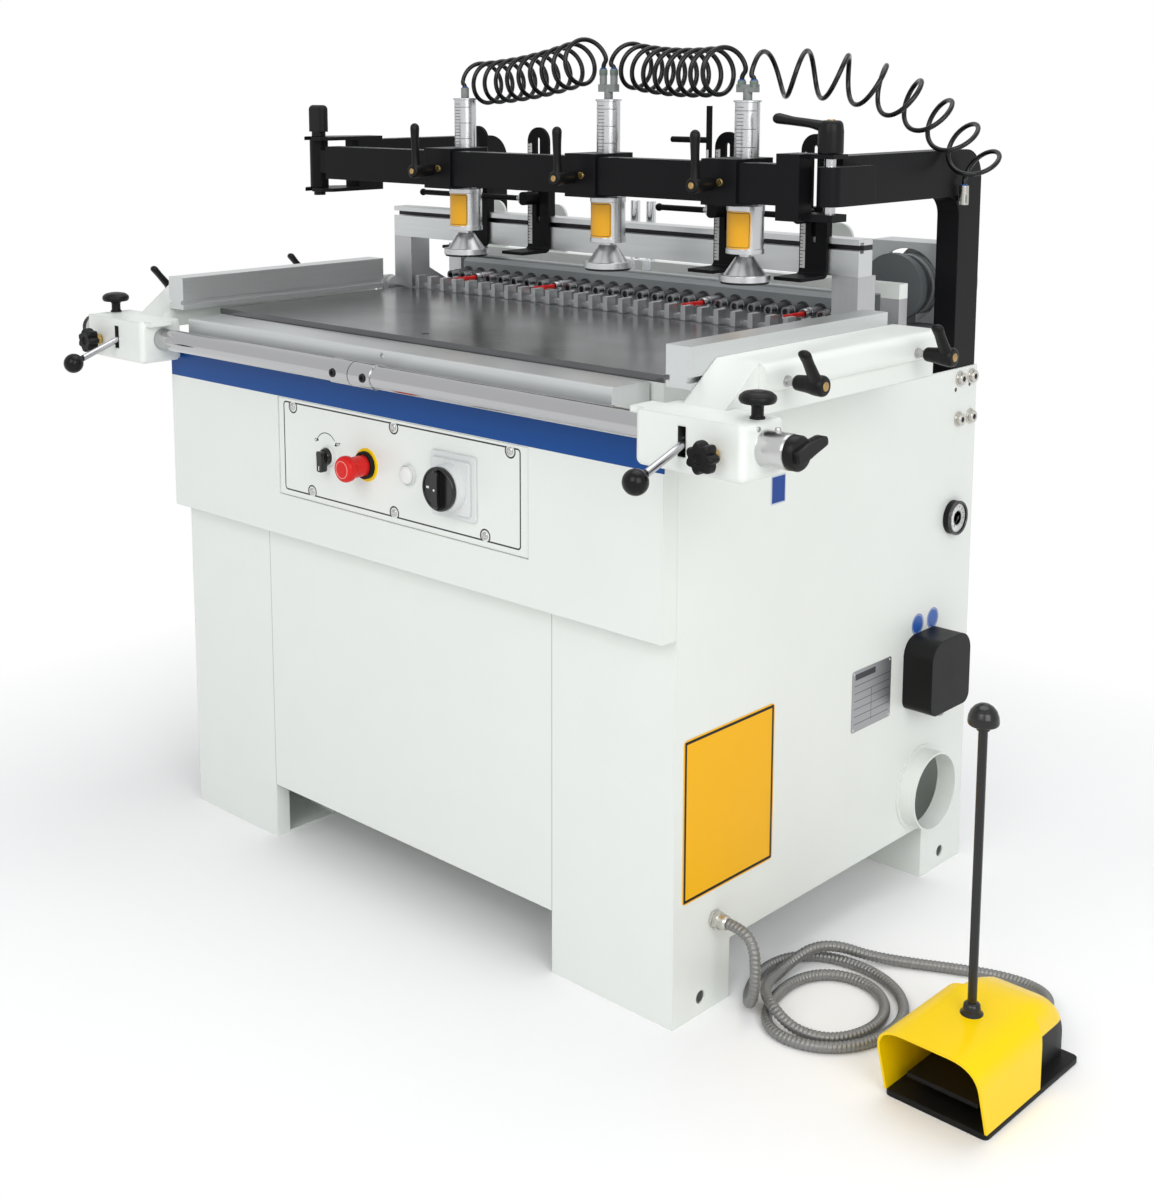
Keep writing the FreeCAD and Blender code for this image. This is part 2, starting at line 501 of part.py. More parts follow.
def make_controls():
    face = "recess_deep - apron_out - plate_thick"
    stem = rod("selector_stem", "selector_x", face + " - slide_gap", "control_up",
               "control_stem", "bezel_depth + slide_gap", TO_FRONT)
    head = rod("selector_head", "selector_x", face + " - bezel_depth - slide_gap",
               "control_up", "selector_radius", "selector_depth - selector_bar / 2",
               TO_FRONT)
    grip = block("selector_grip_bar", "selector_x - selector_grip / 2",
                 face + " - bezel_depth - slide_gap - selector_depth",
                 "control_up - selector_radius", "selector_grip", "selector_bar",
                 "2 * selector_radius")
    node("selector_knob", joined("selector_knob_whole", [stem, head, grip]))

    reach = "stop_ring_depth + stop_stem"
    stem = rod("stop_stem_rod", "stop_x", face + " - bezel_depth", "control_up",
               "stop_stem_radius", reach + " - bezel_depth", TO_FRONT)
    profile = [("0", "0"), ("stop_head_radius - stop_head_round / 2", "0"),
               ("stop_head_radius", "stop_head_round"),
               ("stop_head_radius - stop_head_round / 2", "stop_head_depth - stop_head_round"),
               ("stop_head_radius / 2", "stop_head_depth"), ("0", "stop_head_depth")]
    head = turned("stop_head", profile, "stop_x", "(%s) - (%s)" % (face, reach),
                  "control_up", TO_FRONT)
    node("emergency_button", joined("emergency_button_whole", [stem, head]))

    node("start_button", rod("start_cap", "start_x", face + " - slide_gap - bezel_depth / 2",
                             "control_up", "start_radius",
                             "bezel_depth / 2 + start_proud", TO_FRONT))

    top = face + " - mains_depth"
    stem = rod("mains_stem", "mains_x", face + " - mains_depth / 2", "control_up",
               "control_stem", "mains_depth / 2 + slide_gap", TO_FRONT)
    hub = rod("mains_hub", "mains_x", top + " - slide_gap", "control_up",
              "mains_hub_radius", "mains_hub_depth", TO_FRONT)
    grip = block("mains_bar_grip", "mains_x - mains_grip / 2",
                 top + " - slide_gap - mains_hub_depth - mains_bar",
                 "control_up - mains_hub_radius", "mains_grip", "mains_bar + mains_hub_depth",
                 "2 * mains_hub_radius")
    grip = rounded("mains_grip_rounded", grip, "mains_grip / 3",
                   lambda middle, way: runs_along(way, 2)
                   and middle.y < value_of(top + " - mains_hub_depth"))
    node("mains_knob", joined("mains_knob_whole", [stem, hub, grip]))


def turned(name, profile, x, y, z, rotation=None):
    """A body revolved about its own Z axis from pairs of a radius and a height."""
    body = doc.addObject("PartDesign::Body", name)
    sketch = body.newObject("Sketcher::SketchObject", name + "_sketch")
    plane = next(f for f in body.Origin.OriginFeatures if f.Role == "XZ_Plane")
    sketch.AttachmentSupport = [(plane, "")]
    sketch.MapMode = "FlatFace"
    points = [Vector(value_of(across), value_of(up), 0) for across, up in profile]
    count = len(points)
    for number in range(count):
        sketch.addGeometry(Part.LineSegment(points[number], points[(number + 1) % count]))
    for number in range(count):
        sketch.addConstraint(Sketcher.Constraint(
            "Coincident", number, 2, (number + 1) % count, 1))
    for number, pair in enumerate(profile):
        for kind, text, amount in zip(("DistanceX", "DistanceY"), pair, points[number]):
            index = sketch.addConstraint(
                Sketcher.Constraint(kind, -1, 1, number, 1, amount))
            label = "%s_%d" % (kind, number)
            sketch.renameConstraint(index, label)
            bind(sketch, "Constraints." + label, text)
    turn = body.newObject("PartDesign::Revolution", name + "_turn")
    turn.Profile = sketch
    turn.ReferenceAxis = (sketch, ["V_Axis"])
    turn.Angle = 360
    doc.recompute()
    return put(body, x, y, z, rotation)


def make_front_rail():
    """Aluminium rail with a groove along its front face, seated on the apron."""
    front, back = "rail_front", "rail_front + rail_depth"
    low, high = "apron_top", "rail_top"
    groove = "rail_top - rail_groove_down"
    corners = [(front, low), (back, low), (back, high), (front, high),
               (front, groove), ("rail_front + rail_groove_deep", groove),
               ("rail_front + rail_groove_deep", groove + " - rail_groove"),
               (front, groove + " - rail_groove")]
    bar = outline("rail_profile", "YZ_Plane", corners, "rail_length",
                  rounds=[("rail_lip", (2, 3))], x="-rail_length / 2")
    hole = rod("rail_hole", "rail_hole_x", "rail_front - cut_over",
               "rail_top - rail_hole_down", "rail_hole_radius",
               "rail_groove_deep + cut_over", ALONG_Y)
    node("front_rail", without("rail_bored", bar, [hole]))


def make_front_bar():
    """Front guide bar in two halves, with the sleeve and screws that join them."""
    left = rod("bar_whole", "-bar_length / 2", "bar_y", "bar_up", "bar_radius",
               "bar_length", ALONG_X)
    sleeve = rod("bar_sleeve", "joint_screw_left - (joint_width - joint_screw_pitch) / 2",
                 "bar_y", "bar_up", "bar_radius + joint_sleeve", "joint_width", ALONG_X)
    parts = [left, sleeve]
    for number, x in enumerate(("joint_screw_left", "joint_screw_left + joint_screw_pitch")):
        parts.append(rod("bar_screw_%d" % number, x, "bar_y", "bar_up",
                         "joint_screw_radius", "bar_radius + joint_screw_head", TO_FRONT))
    for number in (-1, 0, 1):
        parts.append(rod("bar_stand_%d" % (number + 1), "%d * bar_stand_pitch" % number,
                         "bar_y", "bar_up", "bar_stand_radius", "rail_front - bar_y",
                         ALONG_Y))
    node("front_bar", joined("front_bar_whole", parts))


def make_side_fittings():
    wall = "cab_width / 2"
    tube = rod("port_tube", wall, "port_y", "port_up", "port_radius", "port_length",
               ALONG_X)
    rim = rod("port_rim_disc", wall, "port_y", "port_up", "port_radius + port_rim",
              "port_rim_thick", ALONG_X)
    bore = rod("port_bore", wall + " - cut_over", "port_y", "port_up",
               "port_radius - port_wall", "port_length + 2 * cut_over", ALONG_X)
    node("dust_port", without("dust_port_bored", joined("dust_port_whole", [tube, rim]),
                              [bore]))

    front, back = "cover_front", "cover_front + cover_width"
    low, high = "cover_bottom", "cover_bottom + cover_height"
    node("terminal_cover", outline(
        "terminal_cover_body", "YZ_Plane", [(front, low), (back, low), (back, high),
                                            (front, high)],
        "cover_depth", rounds=[("cover_round", (0, 1)), ("cover_dome", (2, 3))], x=wall))

    case = rod("gauge_case", wall, "gauge_y", "gauge_up", "gauge_radius", "gauge_depth",
               ALONG_X)
    sunk = rod("gauge_well", wall + " + gauge_depth - gauge_sunk", "gauge_y", "gauge_up",
               "gauge_radius - gauge_ring", "gauge_sunk + cut_over", ALONG_X)
    node("pressure_gauge", without("pressure_gauge_body", case, [sunk]))

    nut = rod("gland_nut_body", wall, "gland_y", "gland_up", "gland_radius", "gland_nut",
              ALONG_X)
    nose = taper("gland_nose_body", wall + " + gland_nut", "gland_y", "gland_up",
                 "gland_nose_radius", "conduit_radius + sheet_wall", "gland_nose", ALONG_X)
    node("conduit_gland", joined("conduit_gland_whole", [nut, nose]))


def make_spindle_head():
    """Gear housing of the spindle row, its slide blocks and its drive motor."""
    front, back = "head_front", "head_front + head_depth"
    corners = [(front, "head_bottom"), (back, "head_bottom"), (back, "head_top"),
               ("head_front + head_chamfer", "head_top"),
               (front, "head_top - head_chamfer")]
    housing = outline("head_housing", "YZ_Plane", corners, "2 * head_half",
                      x="-head_half")
    bores = []
    seals = []
    for number in range(-13, 14):
        x = "%d * spindle_pitch" % number
        bores.append(rod("head_bore_%d" % (number + 14), x,
                         "head_front - seal_depth - cut_over", "spindle_up",
                         "nose_radius + pin_gap", "nose_seat + seal_depth + cut_over",
                         ALONG_Y))
        seals.append(rod("seal_disc_%d" % (number + 14), x, "head_front", "spindle_up",
                         "seal_radius", "seal_depth", TO_FRONT))
    blocks = []
    for side, x in (("left", "-guide_x"), ("right", "guide_x")):
        blocks.append(block(side + "_slide", x + " - carriage_width / 2",
                            "head_front + carriage_in", "tilt_rail_bottom",
                            "carriage_width", "carriage_depth",
                            "head_bottom - tilt_rail_bottom"))
        bores.append(rod(side + "_slide_bore", x, "head_front", guide_up(),
                         "guide_radius + pin_gap", "head_depth", ALONG_Y))
    node("spindle_head", without(
        "head_bored", joined("head_whole", [housing] + blocks + seals), bores))

    rear = "head_front + head_depth"
    flange = rod("motor_flange", "motor_x", rear, "motor_up", "flange_radius",
                 "flange_depth", ALONG_Y)
    core = rod("motor_core", "motor_x", rear + " + flange_depth", "motor_up",
               "motor_radius - fin_depth", "motor_length", ALONG_Y)
    parts = [flange, core]
    for number in range(8):
        parts.append(rod(
            "motor_fin_%d" % number, "motor_x",
            rear + " + flange_depth + (%d + 1) * motor_length / 9 - fin_thick" % number,
            "motor_up", "motor_radius", "fin_thick", ALONG_Y))
    parts.append(rod("motor_cowl", "motor_x", rear + " + flange_depth + motor_length",
                     "motor_up", "cowl_radius", "cowl_depth", ALONG_Y))
    low = "motor_x - guard_width / 2"
    parts.append(block("motor_shelf", low, rear, "guard_bottom - shelf_thick",
                       "guard_width", "guard_front + guard_depth - (%s)" % rear,
                       "shelf_thick"))
    parts.append(block("motor_pad", "motor_x - motor_foot / 2",
                       rear + " + flange_depth + fin_thick", "guard_bottom - shelf_thick",
                       "motor_foot", "motor_length - 2 * fin_thick",
                       "motor_up - motor_radius / 2 - guard_bottom + shelf_thick"))
    shell = block("guard_outside", low, "guard_front", "guard_bottom - shelf_thick / 2",
                  "guard_width", "guard_depth", "guard_top - guard_bottom + shelf_thick / 2")
    hollow = block("guard_inside", low + " + guard_wall", "guard_front + guard_wall",
                   "guard_bottom - shelf_thick", "guard_width - 2 * guard_wall",
                   "guard_depth", "guard_top - guard_bottom + shelf_thick - guard_wall")
    window = rod("guard_window_hole", "motor_x", "guard_front - cut_over", "motor_up",
                 "guard_window", "guard_wall + 2 * cut_over", ALONG_Y)
    parts.append(without("guard_folded", shell, [hollow, window]))
    node("head_motor", joined("head_motor_whole", parts))


def guide_up():
    return "(tilt_rail_bottom + cross_height / 2)"


def spindle(name, number, seat_gap):
    """One spindle nose with its bored tip, as a solid on the row's axis."""
    x = "%d * spindle_pitch" % number
    tip = rod(name + "_tip", x, "nose_front", "spindle_up", "tip_radius", "tip_length",
              ALONG_Y)
    sleeve = rod(name + "_sleeve", x, "nose_front + tip_length", "spindle_up",
                 "nose_radius",
                 "head_front + nose_seat - nose_front - tip_length - " + seat_gap,
                 ALONG_Y)
    bore = rod(name + "_bore", x, "nose_front - cut_over", "spindle_up", "nose_bore",
               "nose_bore_deep + cut_over", ALONG_Y)
    return without(name + "_bored", joined(name + "_nose", [tip, sleeve]), [bore])


def make_spindles():
    """The spindle row: four noses hold bits and turn by themselves, the others are a group."""
    carrying = {-11: "a", -5: "b", 5: "c", 11: "d"}
    row = [spindle("nose_%d" % (number + 14), number, "0")
           for number in range(-13, 14) if number not in carrying]
    node("spindle_row", *row)
    for number, letter in carrying.items():
        nose = spindle("bit_nose_" + letter, number, "slide_gap")
        x = "%d * spindle_pitch" % number
        shank = rod("bit_shank_" + letter, x, "nose_front - bit_length + bit_point",
                    "spindle_up", "bit_radius",
                    "bit_length - bit_point + nose_bore_deep", ALONG_Y)
        point = taper("bit_point_" + letter, x, "nose_front - bit_length", "spindle_up",
                      "bit_radius / 8", "bit_radius", "bit_point", ALONG_Y)
        node("spindle_" + letter, joined("spindle_whole_" + letter, [nose, shank, point]))


def make_tilt_frame():
    """Welded frame that tips the head: rails, guide rods, posts, gussets and trunnions."""
    rail_high = "tilt_rail_top - tilt_rail_bottom"
    guide = guide_up()
    parts = [
        block("front_cross", "-tilt_rail_in", "saddle_front", "tilt_rail_bottom",
              "2 * tilt_rail_in", "cross_depth", "cross_height"),
        block("rear_cross", "-tilt_rail_in", "tilt_rear - cross_depth",
              "tilt_rail_bottom", "2 * tilt_rail_in", "cross_depth", "cross_height"),
        block("bridge_deck", "-tilt_rail_in - tilt_rail_width", "bridge_front",
              "head_top + bridge_gap", "2 * tilt_rail_in + 2 * tilt_rail_width",
              "bridge_depth", "bridge_thick")]
    for side, sign, low in (("left", "-", "-tilt_rail_in - tilt_rail_width"),
                            ("right", "", "tilt_rail_in")):
        post_low = "-post_in - post_size" if side == "left" else "post_in"
        parts += [
            block(side + "_tilt_rail", low, "saddle_front", "tilt_rail_bottom",
                  "tilt_rail_width", "tilt_rear - saddle_front", rail_high),
            block(side + "_saddle", low, "saddle_front", "tilt_rail_top",
                  "tilt_rail_width", "tilt_y + post_size - saddle_front",
                  "post_bottom - tilt_rail_top"),
            block(side + "_post", post_low, "tilt_y", "post_bottom", "post_size",
                  "post_size", "stop_bottom - post_bottom"),
            block(side + "_bridge_leg", low, "bridge_front", "tilt_rail_top",
                  "tilt_rail_width", "bridge_depth",
                  "head_top + bridge_gap - tilt_rail_top"),
            rod(side + "_guide", sign + "guide_x", "saddle_front + cross_depth / 2",
                guide, "guide_radius", "tilt_rear - saddle_front - cross_depth", ALONG_Y)]
        gusset_low = "-tilt_rail_in - gusset_thick" if side == "left" else "tilt_rail_in"
        parts.append(outline(
            side + "_gusset", "YZ_Plane",
            [("tilt_y + post_size", "tilt_rail_top"), ("gusset_back", "tilt_rail_top"),
             ("gusset_back", "gusset_low"), ("tilt_y + post_size", "gusset_high")],
            "gusset_thick", x=gusset_low))
        plate_low = ("-stop_half - trunnion_plate" if side == "left" else "stop_half")
        parts += [
            rod(side + "_trunnion_disc", plate_low, "tilt_y", "table_top",
                "trunnion_half", "trunnion_plate", ALONG_X),
            block(side + "_trunnion_plate", plate_low, "tilt_y",
                  "table_top - trunnion_half", "trunnion_plate", "post_size",
                  "2 * trunnion_half")]
        boss = "cab_width / 2 - sheet_wall - ear_wall - slide_gap"
        outer = "stop_half + trunnion_plate"
        boss_low = outer if side == "right" else "-(%s)" % boss
        pin_low = outer if side == "right" else "-(cab_width / 2 - sheet_wall - slide_gap)"
        parts += [
            rod(side + "_trunnion_boss", boss_low, "tilt_y", "table_top",
                "trunnion_boss_radius", "%s - (%s)" % (boss, outer), ALONG_X),
            rod(side + "_trunnion_pin", pin_low, "tilt_y", "table_top",
                "trunnion_radius",
                "cab_width / 2 - sheet_wall - slide_gap - (%s)" % outer, ALONG_X)]
    frame = joined("tilt_frame_welded", parts)
    extras = []
    deck = "head_top + bridge_gap + bridge_thick"
    for number in (1, 2, 3):
        x = "hood_x_%d" % number
        hood = block("hood_%d_flat" % number, x + " - hood_width / 2",
                     "bridge_front + bridge_depth - hood_thick", deck, "hood_width",
                     "hood_thick", "hood_top - (%s)" % deck)
        extras.append(rounded("hood_%d" % number, hood, "hood_round",
                              lambda middle, way: runs_along(way, 1)
                              and middle.z > value_of("hood_top") - 1))
    for number, sign in enumerate(("-", "+")):
        extras.append(rod("gas_rod_%d" % number, "gas_x %s gas_half" % sign,
                          "bridge_front + bridge_depth / 2", deck, "gas_radius",
                          "gas_top - (%s)" % deck))
    node("tilt_frame", frame, *extras)


def make_comb():
    """Comb of tines that hold the work's face clear of the spindle noses."""
    bar = block("comb_bar", "-comb_half", "comb_front", "head_bottom",
                "2 * comb_half", "comb_depth", "comb_top - head_bottom")
    tines = []
    for number in range(28):
        tine = block("tine_%d" % number,
                     "(%d - 13.5) * spindle_pitch - tine_width / 2" % number,
                     "tilt_y", "table_top + tine_lift", "tine_width", "tine_depth",
                     "tine_top - table_top - tine_lift")
        tines.append(without("tine_%d_seated" % number, tine, [bar]))
    node("comb", bar, *tines)


def make_stop_rail():
    """Aluminium rail across the posts, with a T-slot along its front face."""
    front, back = "tilt_y", "tilt_y + stop_depth"
    low, high = "stop_bottom", "stop_bottom + stop_height"
    middle = "(stop_bottom + stop_height - stop_slot_down)"
    mouth_high, mouth_low = middle + " + stop_slot / 2", middle + " - stop_slot / 2"
    core_high, core_low = middle + " + stop_core / 2", middle + " - stop_core / 2"
    lip, deep = "tilt_y + stop_lip", "tilt_y + stop_slot_deep"
    corners = [(front, low), (back, low), (back, high), (front, high),
               (front, mouth_high), (lip, mouth_high), (lip, core_high), (deep, core_high),
               (deep, core_low), (lip, core_low), (lip, mouth_low), (front, mouth_low)]
    node("stop_rail", outline("stop_rail_profile", "YZ_Plane", corners, "2 * stop_half",
                              x="-stop_half"))


def make_edge_stop(number):
    """L-shaped edge stop: a slotted plate on the stop rail with a foot bent to the front."""
    name = "edge_stop_%d" % number
    x = "edge_%d" % number
    back = "tilt_y - slide_gap"
    front = "tilt_y - slide_gap - edge_thick"
    crown = "edge_top - edge_width / 2"
    corners = [("edge_foot_front", "edge_bottom"), (back, "edge_bottom"), (back, crown),
               (front, crown), (front, "edge_bottom + edge_thick"),
               ("edge_foot_front", "edge_bottom + edge_thick")]
    bent = outline(name + "_bent", "YZ_Plane", corners, "edge_width",
                   rounds=[("edge_bend", (1,)), ("edge_bend - edge_thick", (4,))],
                   x=x + " - edge_width / 2")
    top = rod(name + "_crown", x, front, crown, "edge_width / 2", "edge_thick", ALONG_Y)
    slot = block(name + "_slot", x + " - edge_slot / 2", front + " - cut_over",
                 "edge_slot_low", "edge_slot", "edge_thick + 2 * cut_over",
                 "edge_slot_high - edge_slot_low")
    ends = [rod(name + "_slot_end_%d" % end, x, front + " - cut_over", z, "edge_slot / 2",
                "edge_thick + 2 * cut_over", ALONG_Y)
            for end, z in enumerate(("edge_slot_low", "edge_slot_high"))]
    plate = without(name + "_plate", joined(name + "_blank", [bent, top]), [slot] + ends)
    hub_x = x + " - edge_hub_aside"
    hub = rod(name + "_hub", hub_x, front, "edge_lever_up", "edge_hub_radius", "edge_hub",
              TO_FRONT)
    lever_y = front + " - edge_hub + edge_lever_in"
    lever = rod(name + "_lever", hub_x, lever_y, "edge_lever_up", "edge_lever_radius",
                "edge_lever", TO_LEFT)
    tip = ball(name + "_tip", hub_x + " - edge_lever", lever_y, "edge_lever_up",
               "edge_tip_radius")
    saddle = block(name + "_saddle", x + " - edge_saddle / 2", back,
                   "stop_bottom + stop_height + slide_gap", "edge_saddle",
                   "edge_saddle_deep", "edge_lever_up + edge_hub_radius"
                   " - stop_bottom - stop_height")
    key_up = "stop_bottom + stop_height - stop_slot_down"
    key = block(name + "_key", x + " - edge_saddle / 2", back,
                key_up + " - stop_slot / 2 + slide_gap", "edge_saddle",
                "stop_lip + slide_gap", "stop_slot - 2 * slide_gap")
    parts = [plate, hub, lever, tip, saddle, key]
    if number == 3:
        post = rod(name + "_post", x + " - edge_width / 3", lever_y, "edge_lever_up",
                   "edge_lever_radius", "edge_post_top - edge_lever_up")
        handle = rod(name + "_handle", x + " - edge_width / 3", lever_y, "edge_handle_up",
                     "edge_lever_radius", "edge_handle", TO_LEFT)
        parts += [post, handle]
    node(name, joined(name + "_whole", parts))


def outer(side, distance):
    """The X of a place at this distance outward from the working face of a side unit."""
    return "unit_right + %s" % distance if side == "right" else "-unit_left - (%s)" % distance


def low_of(side, distance, length):
    """The lower X of a piece that starts at this distance outward and has this length."""
    if side == "right":
        return "unit_right + %s" % distance
    return "-unit_left - (%s) - (%s)" % (distance, length)


def make_side_carrier(side):
    """Casting that slides along the front bar and carries the side fence on its arm."""
    name = "side_carrier_" + side
    box_long = "box_out - box_in"
    box = block(name + "_block", low_of(side, "box_in", box_long), "box_front",
                "box_bottom", box_long, "box_depth", "box_height")
    box = rounded(name + "_casting", box, "box_round",
                  lambda middle, way: not runs_along(way, 0) or middle.z < value_of("bar_up"))
    wing = block(name + "_wing", low_of(side, "box_in - wing_reach", "2 * wing_reach"),
                 "box_front + box_round", "box_bottom + box_height - wing_thick",
                 "2 * wing_reach", "wing_depth", "wing_thick")
    arm_in = "fence_width + slide_gap"
    arm_wide = "arm_out - fence_width - slide_gap"
    bulge = block(name + "_bulge", low_of(side, arm_in, arm_wide), "arm_front",
                  "arm_ledge", arm_wide, "arm_back - arm_front", "arm_top - arm_ledge")
    outward = 1 if side == "right" else -1
    bulge_middle = value_of(low_of(side, arm_in, arm_wide)) + value_of(arm_wide) / 2
    bulge = rounded(name + "_bulge_rounded", bulge, "arm_round",
                    lambda middle, way: runs_along(way, 1)
                    and (middle.x - bulge_middle) * outward > 0)
    web = block(name + "_web", low_of(side, arm_in, arm_wide + " - arm_web_in"),
                "arm_front", "arm_bottom", arm_wide + " - arm_web_in",
                "arm_back - arm_front", "arm_top - arm_bottom - arm_round")
    riser = outline(name + "_riser", "YZ_Plane",
                    [("riser_front", "box_bottom + box_height - wing_thick"),
                     ("arm_front", "arm_top"), ("riser_back", "arm_top"),
                     ("riser_back", "arm_bottom"), ("riser_front", "arm_bottom")],
                    arm_wide + " - arm_web_in",
                    x=low_of(side, arm_in, arm_wide + " - arm_web_in"))
    sleeve = rod(name + "_sleeve", low_of(side, "box_out", "sleeve_length"), "bar_y",
                 "bar_up", "sleeve_radius", "sleeve_length", ALONG_X)
    bore = rod(name + "_bore", low_of(side, "box_in - cut_over",
                                      "box_out + sleeve_length - box_in + cut_over"),
               "bar_y", "bar_up", "bar_radius + pin_gap",
               "box_out + sleeve_length - box_in + cut_over", ALONG_X)
    slot = block(name + "_slot", outer(side, "slot_out") + " - slot_width / 2",
                 "box_front - cut_over", "bar_up - slot_height / 2", "slot_width",
                 "slot_deep + cut_over", "slot_height")
    stud_bore = rod(name + "_star_bore", outer(side, "star_out"), "box_front - cut_over",
                    "star_up", "star_stud_radius + pin_gap", "slot_deep + cut_over",
                    ALONG_Y)
    pin = rod(name + "_ball_pin", outer(side, "slot_out") + " - slot_width / 2 - cut_over",
              "box_front + ball_pin_in", "bar_up", "ball_pin_radius",
              "slot_width + 2 * cut_over", ALONG_X)
    cast = without(name + "_bored", joined(name + "_cast", [
        box, wing, bulge, web, riser, sleeve]), [bore, slot, stud_bore])
    casting = joined(name + "_pinned", [cast, pin])
    cap_low = low_of(side, "box_out + sleeve_length", "cap_depth")
    cap = rod(name + "_cap", cap_low, "bar_y", "bar_up", "cap_radius", "cap_depth",
              ALONG_X)
    wing_low = low_of(side, "box_out + sleeve_length", "cap_wing_deep")
    lever = block(name + "_cap_wing", wing_low, "bar_y - cap_wing",
                  "bar_up - cap_wing_thick / 2", "cap_wing_deep", "2 * cap_wing",
                  "cap_wing_thick")
    stem = rod(name + "_top_stem", outer(side, "top_knob_out"), "top_knob_back",
               "box_bottom + box_height", "top_stem_radius", "top_knob_stem")
    knob = rounded_knob(name + "_top_knob", outer(side, "top_knob_out"), "top_knob_back",
                        "box_bottom + box_height + top_knob_stem")
    parts = [casting, joined(name + "_cap_whole", [cap, lever]),
             joined(name + "_top_whole", [stem, knob])]
    for label, y in (("near", "ratchet_near"), ("far", "ratchet_far")):
        parts.append(ratchet(name + "_" + label, side, y))
    node(name, *parts)


def rounded_knob(name, x, y, z):
    """Mushroom knob turned with a domed rim."""
    rim = "top_knob_radius"
    profile = [("0", "0"), (rim + " * 0.7", "0"), (rim, "top_knob_depth * 0.35"),
               (rim, "top_knob_depth * 0.6"), (rim + " * 0.8", "top_knob_depth * 0.92"),
               (rim + " * 0.4", "top_knob_depth"), ("0", "top_knob_depth")]
    return turned(name, profile, x, y, z)


def ratchet(name, side, y):
    """Clamp lever on the arm's outer face, its handle leaning up and to the front."""
    turn = ALONG_X if side == "right" else TO_LEFT
    start = outer(side, "arm_out")
    stud = rod(name + "_stud", start, y, "ratchet_up", "ratchet_stud_radius",
               "ratchet_stud", turn)
    hub = rod(name + "_hub", outer(side, "arm_out + ratchet_stud"), y, "ratchet_up",
              "ratchet_hub_radius", "ratchet_hub", turn)
    lean = Rotation(Vector(1, 0, 0), SIZES["ratchet_lean"])
    tip_x = outer(side, "arm_out + ratchet_stud + ratchet_hub - ratchet_hub_radius")
    handle = rod(name + "_handle", tip_x, y, "ratchet_up", "ratchet_arm_radius",
                 "ratchet_arm", lean)
    tip = ball(name + "_tip", tip_x, "%s - ratchet_arm * sin(ratchet_lean * 1deg)" % y,
               "ratchet_up + ratchet_arm * cos(ratchet_lean * 1deg)",
               "ratchet_tip_radius")
    return joined(name + "_lever", [stud, hub, handle, tip])


def make_side_fence(side):
    """Fence bar with a groove along the foot of each long face."""
    low, high = "table_top + fence_lift", "table_top + fence_lift + fence_height"
    groove_low = low + " + fence_groove_up"
    groove_high = groove_low + " + fence_groove"
    corners = [("0", low), ("fence_width", low), ("fence_width", groove_low),
               ("fence_width - fence_groove_deep", groove_low),
               ("fence_width - fence_groove_deep", groove_high),
               ("fence_width", groove_high), ("fence_width", high), ("0", high),
               ("0", groove_high), ("fence_groove_deep", groove_high),
               ("fence_groove_deep", groove_low), ("0", groove_low)]
    node("side_fence_" + side, outline(
        "side_fence_%s_bar" % side, "XZ_Plane", corners, "fence_length",
        x=low_of(side, "0", "fence_width"), y="fence_front", back=True))


def make_side_levers(side):
    """Ball-ended clamp lever in the casting's slot, and the star knob beside it."""
    x = outer(side, "slot_out")
    lean = Rotation(Vector(1, 0, 0), 90 + SIZES["ball_rod_lean"])
    pivot_y = "box_front + ball_pin_in"
    shaft = rod("ball_rod_" + side, x, pivot_y, "bar_up", "ball_rod_radius",
                "ball_rod_length", lean)
    eye = rod("ball_eye_" + side, x + " - ball_eye_width / 2", pivot_y, "bar_up",
              "ball_eye_radius", "ball_eye_width", ALONG_X)
    hole = rod("ball_hole_" + side, x + " - slot_width / 2", pivot_y, "bar_up",
               "ball_pin_radius + pin_gap", "slot_width", ALONG_X)
    knob = ball("ball_knob_" + side, x,
                pivot_y + " - ball_rod_length * cos(ball_rod_lean * 1deg)",
                "bar_up - ball_rod_length * sin(ball_rod_lean * 1deg)", "ball_radius")
    node("ball_lever_" + side, without("ball_lever_%s_bored" % side, joined(
        "ball_lever_%s_whole" % side, [shaft, knob, eye]), [hole]))

    x = outer(side, "star_out")
    stud = rod("star_stud_" + side, x, "box_front + slot_deep - slide_gap", "star_up",
               "star_stud_radius", "slot_deep - slide_gap + star_stud", TO_FRONT)
    core = rod("star_core_" + side, x, "box_front - star_stud", "star_up",
               "star_radius - star_lobe_radius / 2", "star_depth", TO_FRONT)
    lobes = []
    for number in range(7):
        turn = "(%d * 360deg / 7)" % number
        reach = "(star_radius - star_lobe_radius)"
        lobes.append(rod("star_lobe_%s_%d" % (side, number),
                         "%s + %s * cos(%s)" % (x, reach, turn), "box_front - star_stud",
                         "star_up + %s * sin(%s)" % (reach, turn), "star_lobe_radius",
                         "star_depth", TO_FRONT))
    node("star_knob_" + side, joined("star_knob_%s_whole" % side, [stud, core] + lobes))


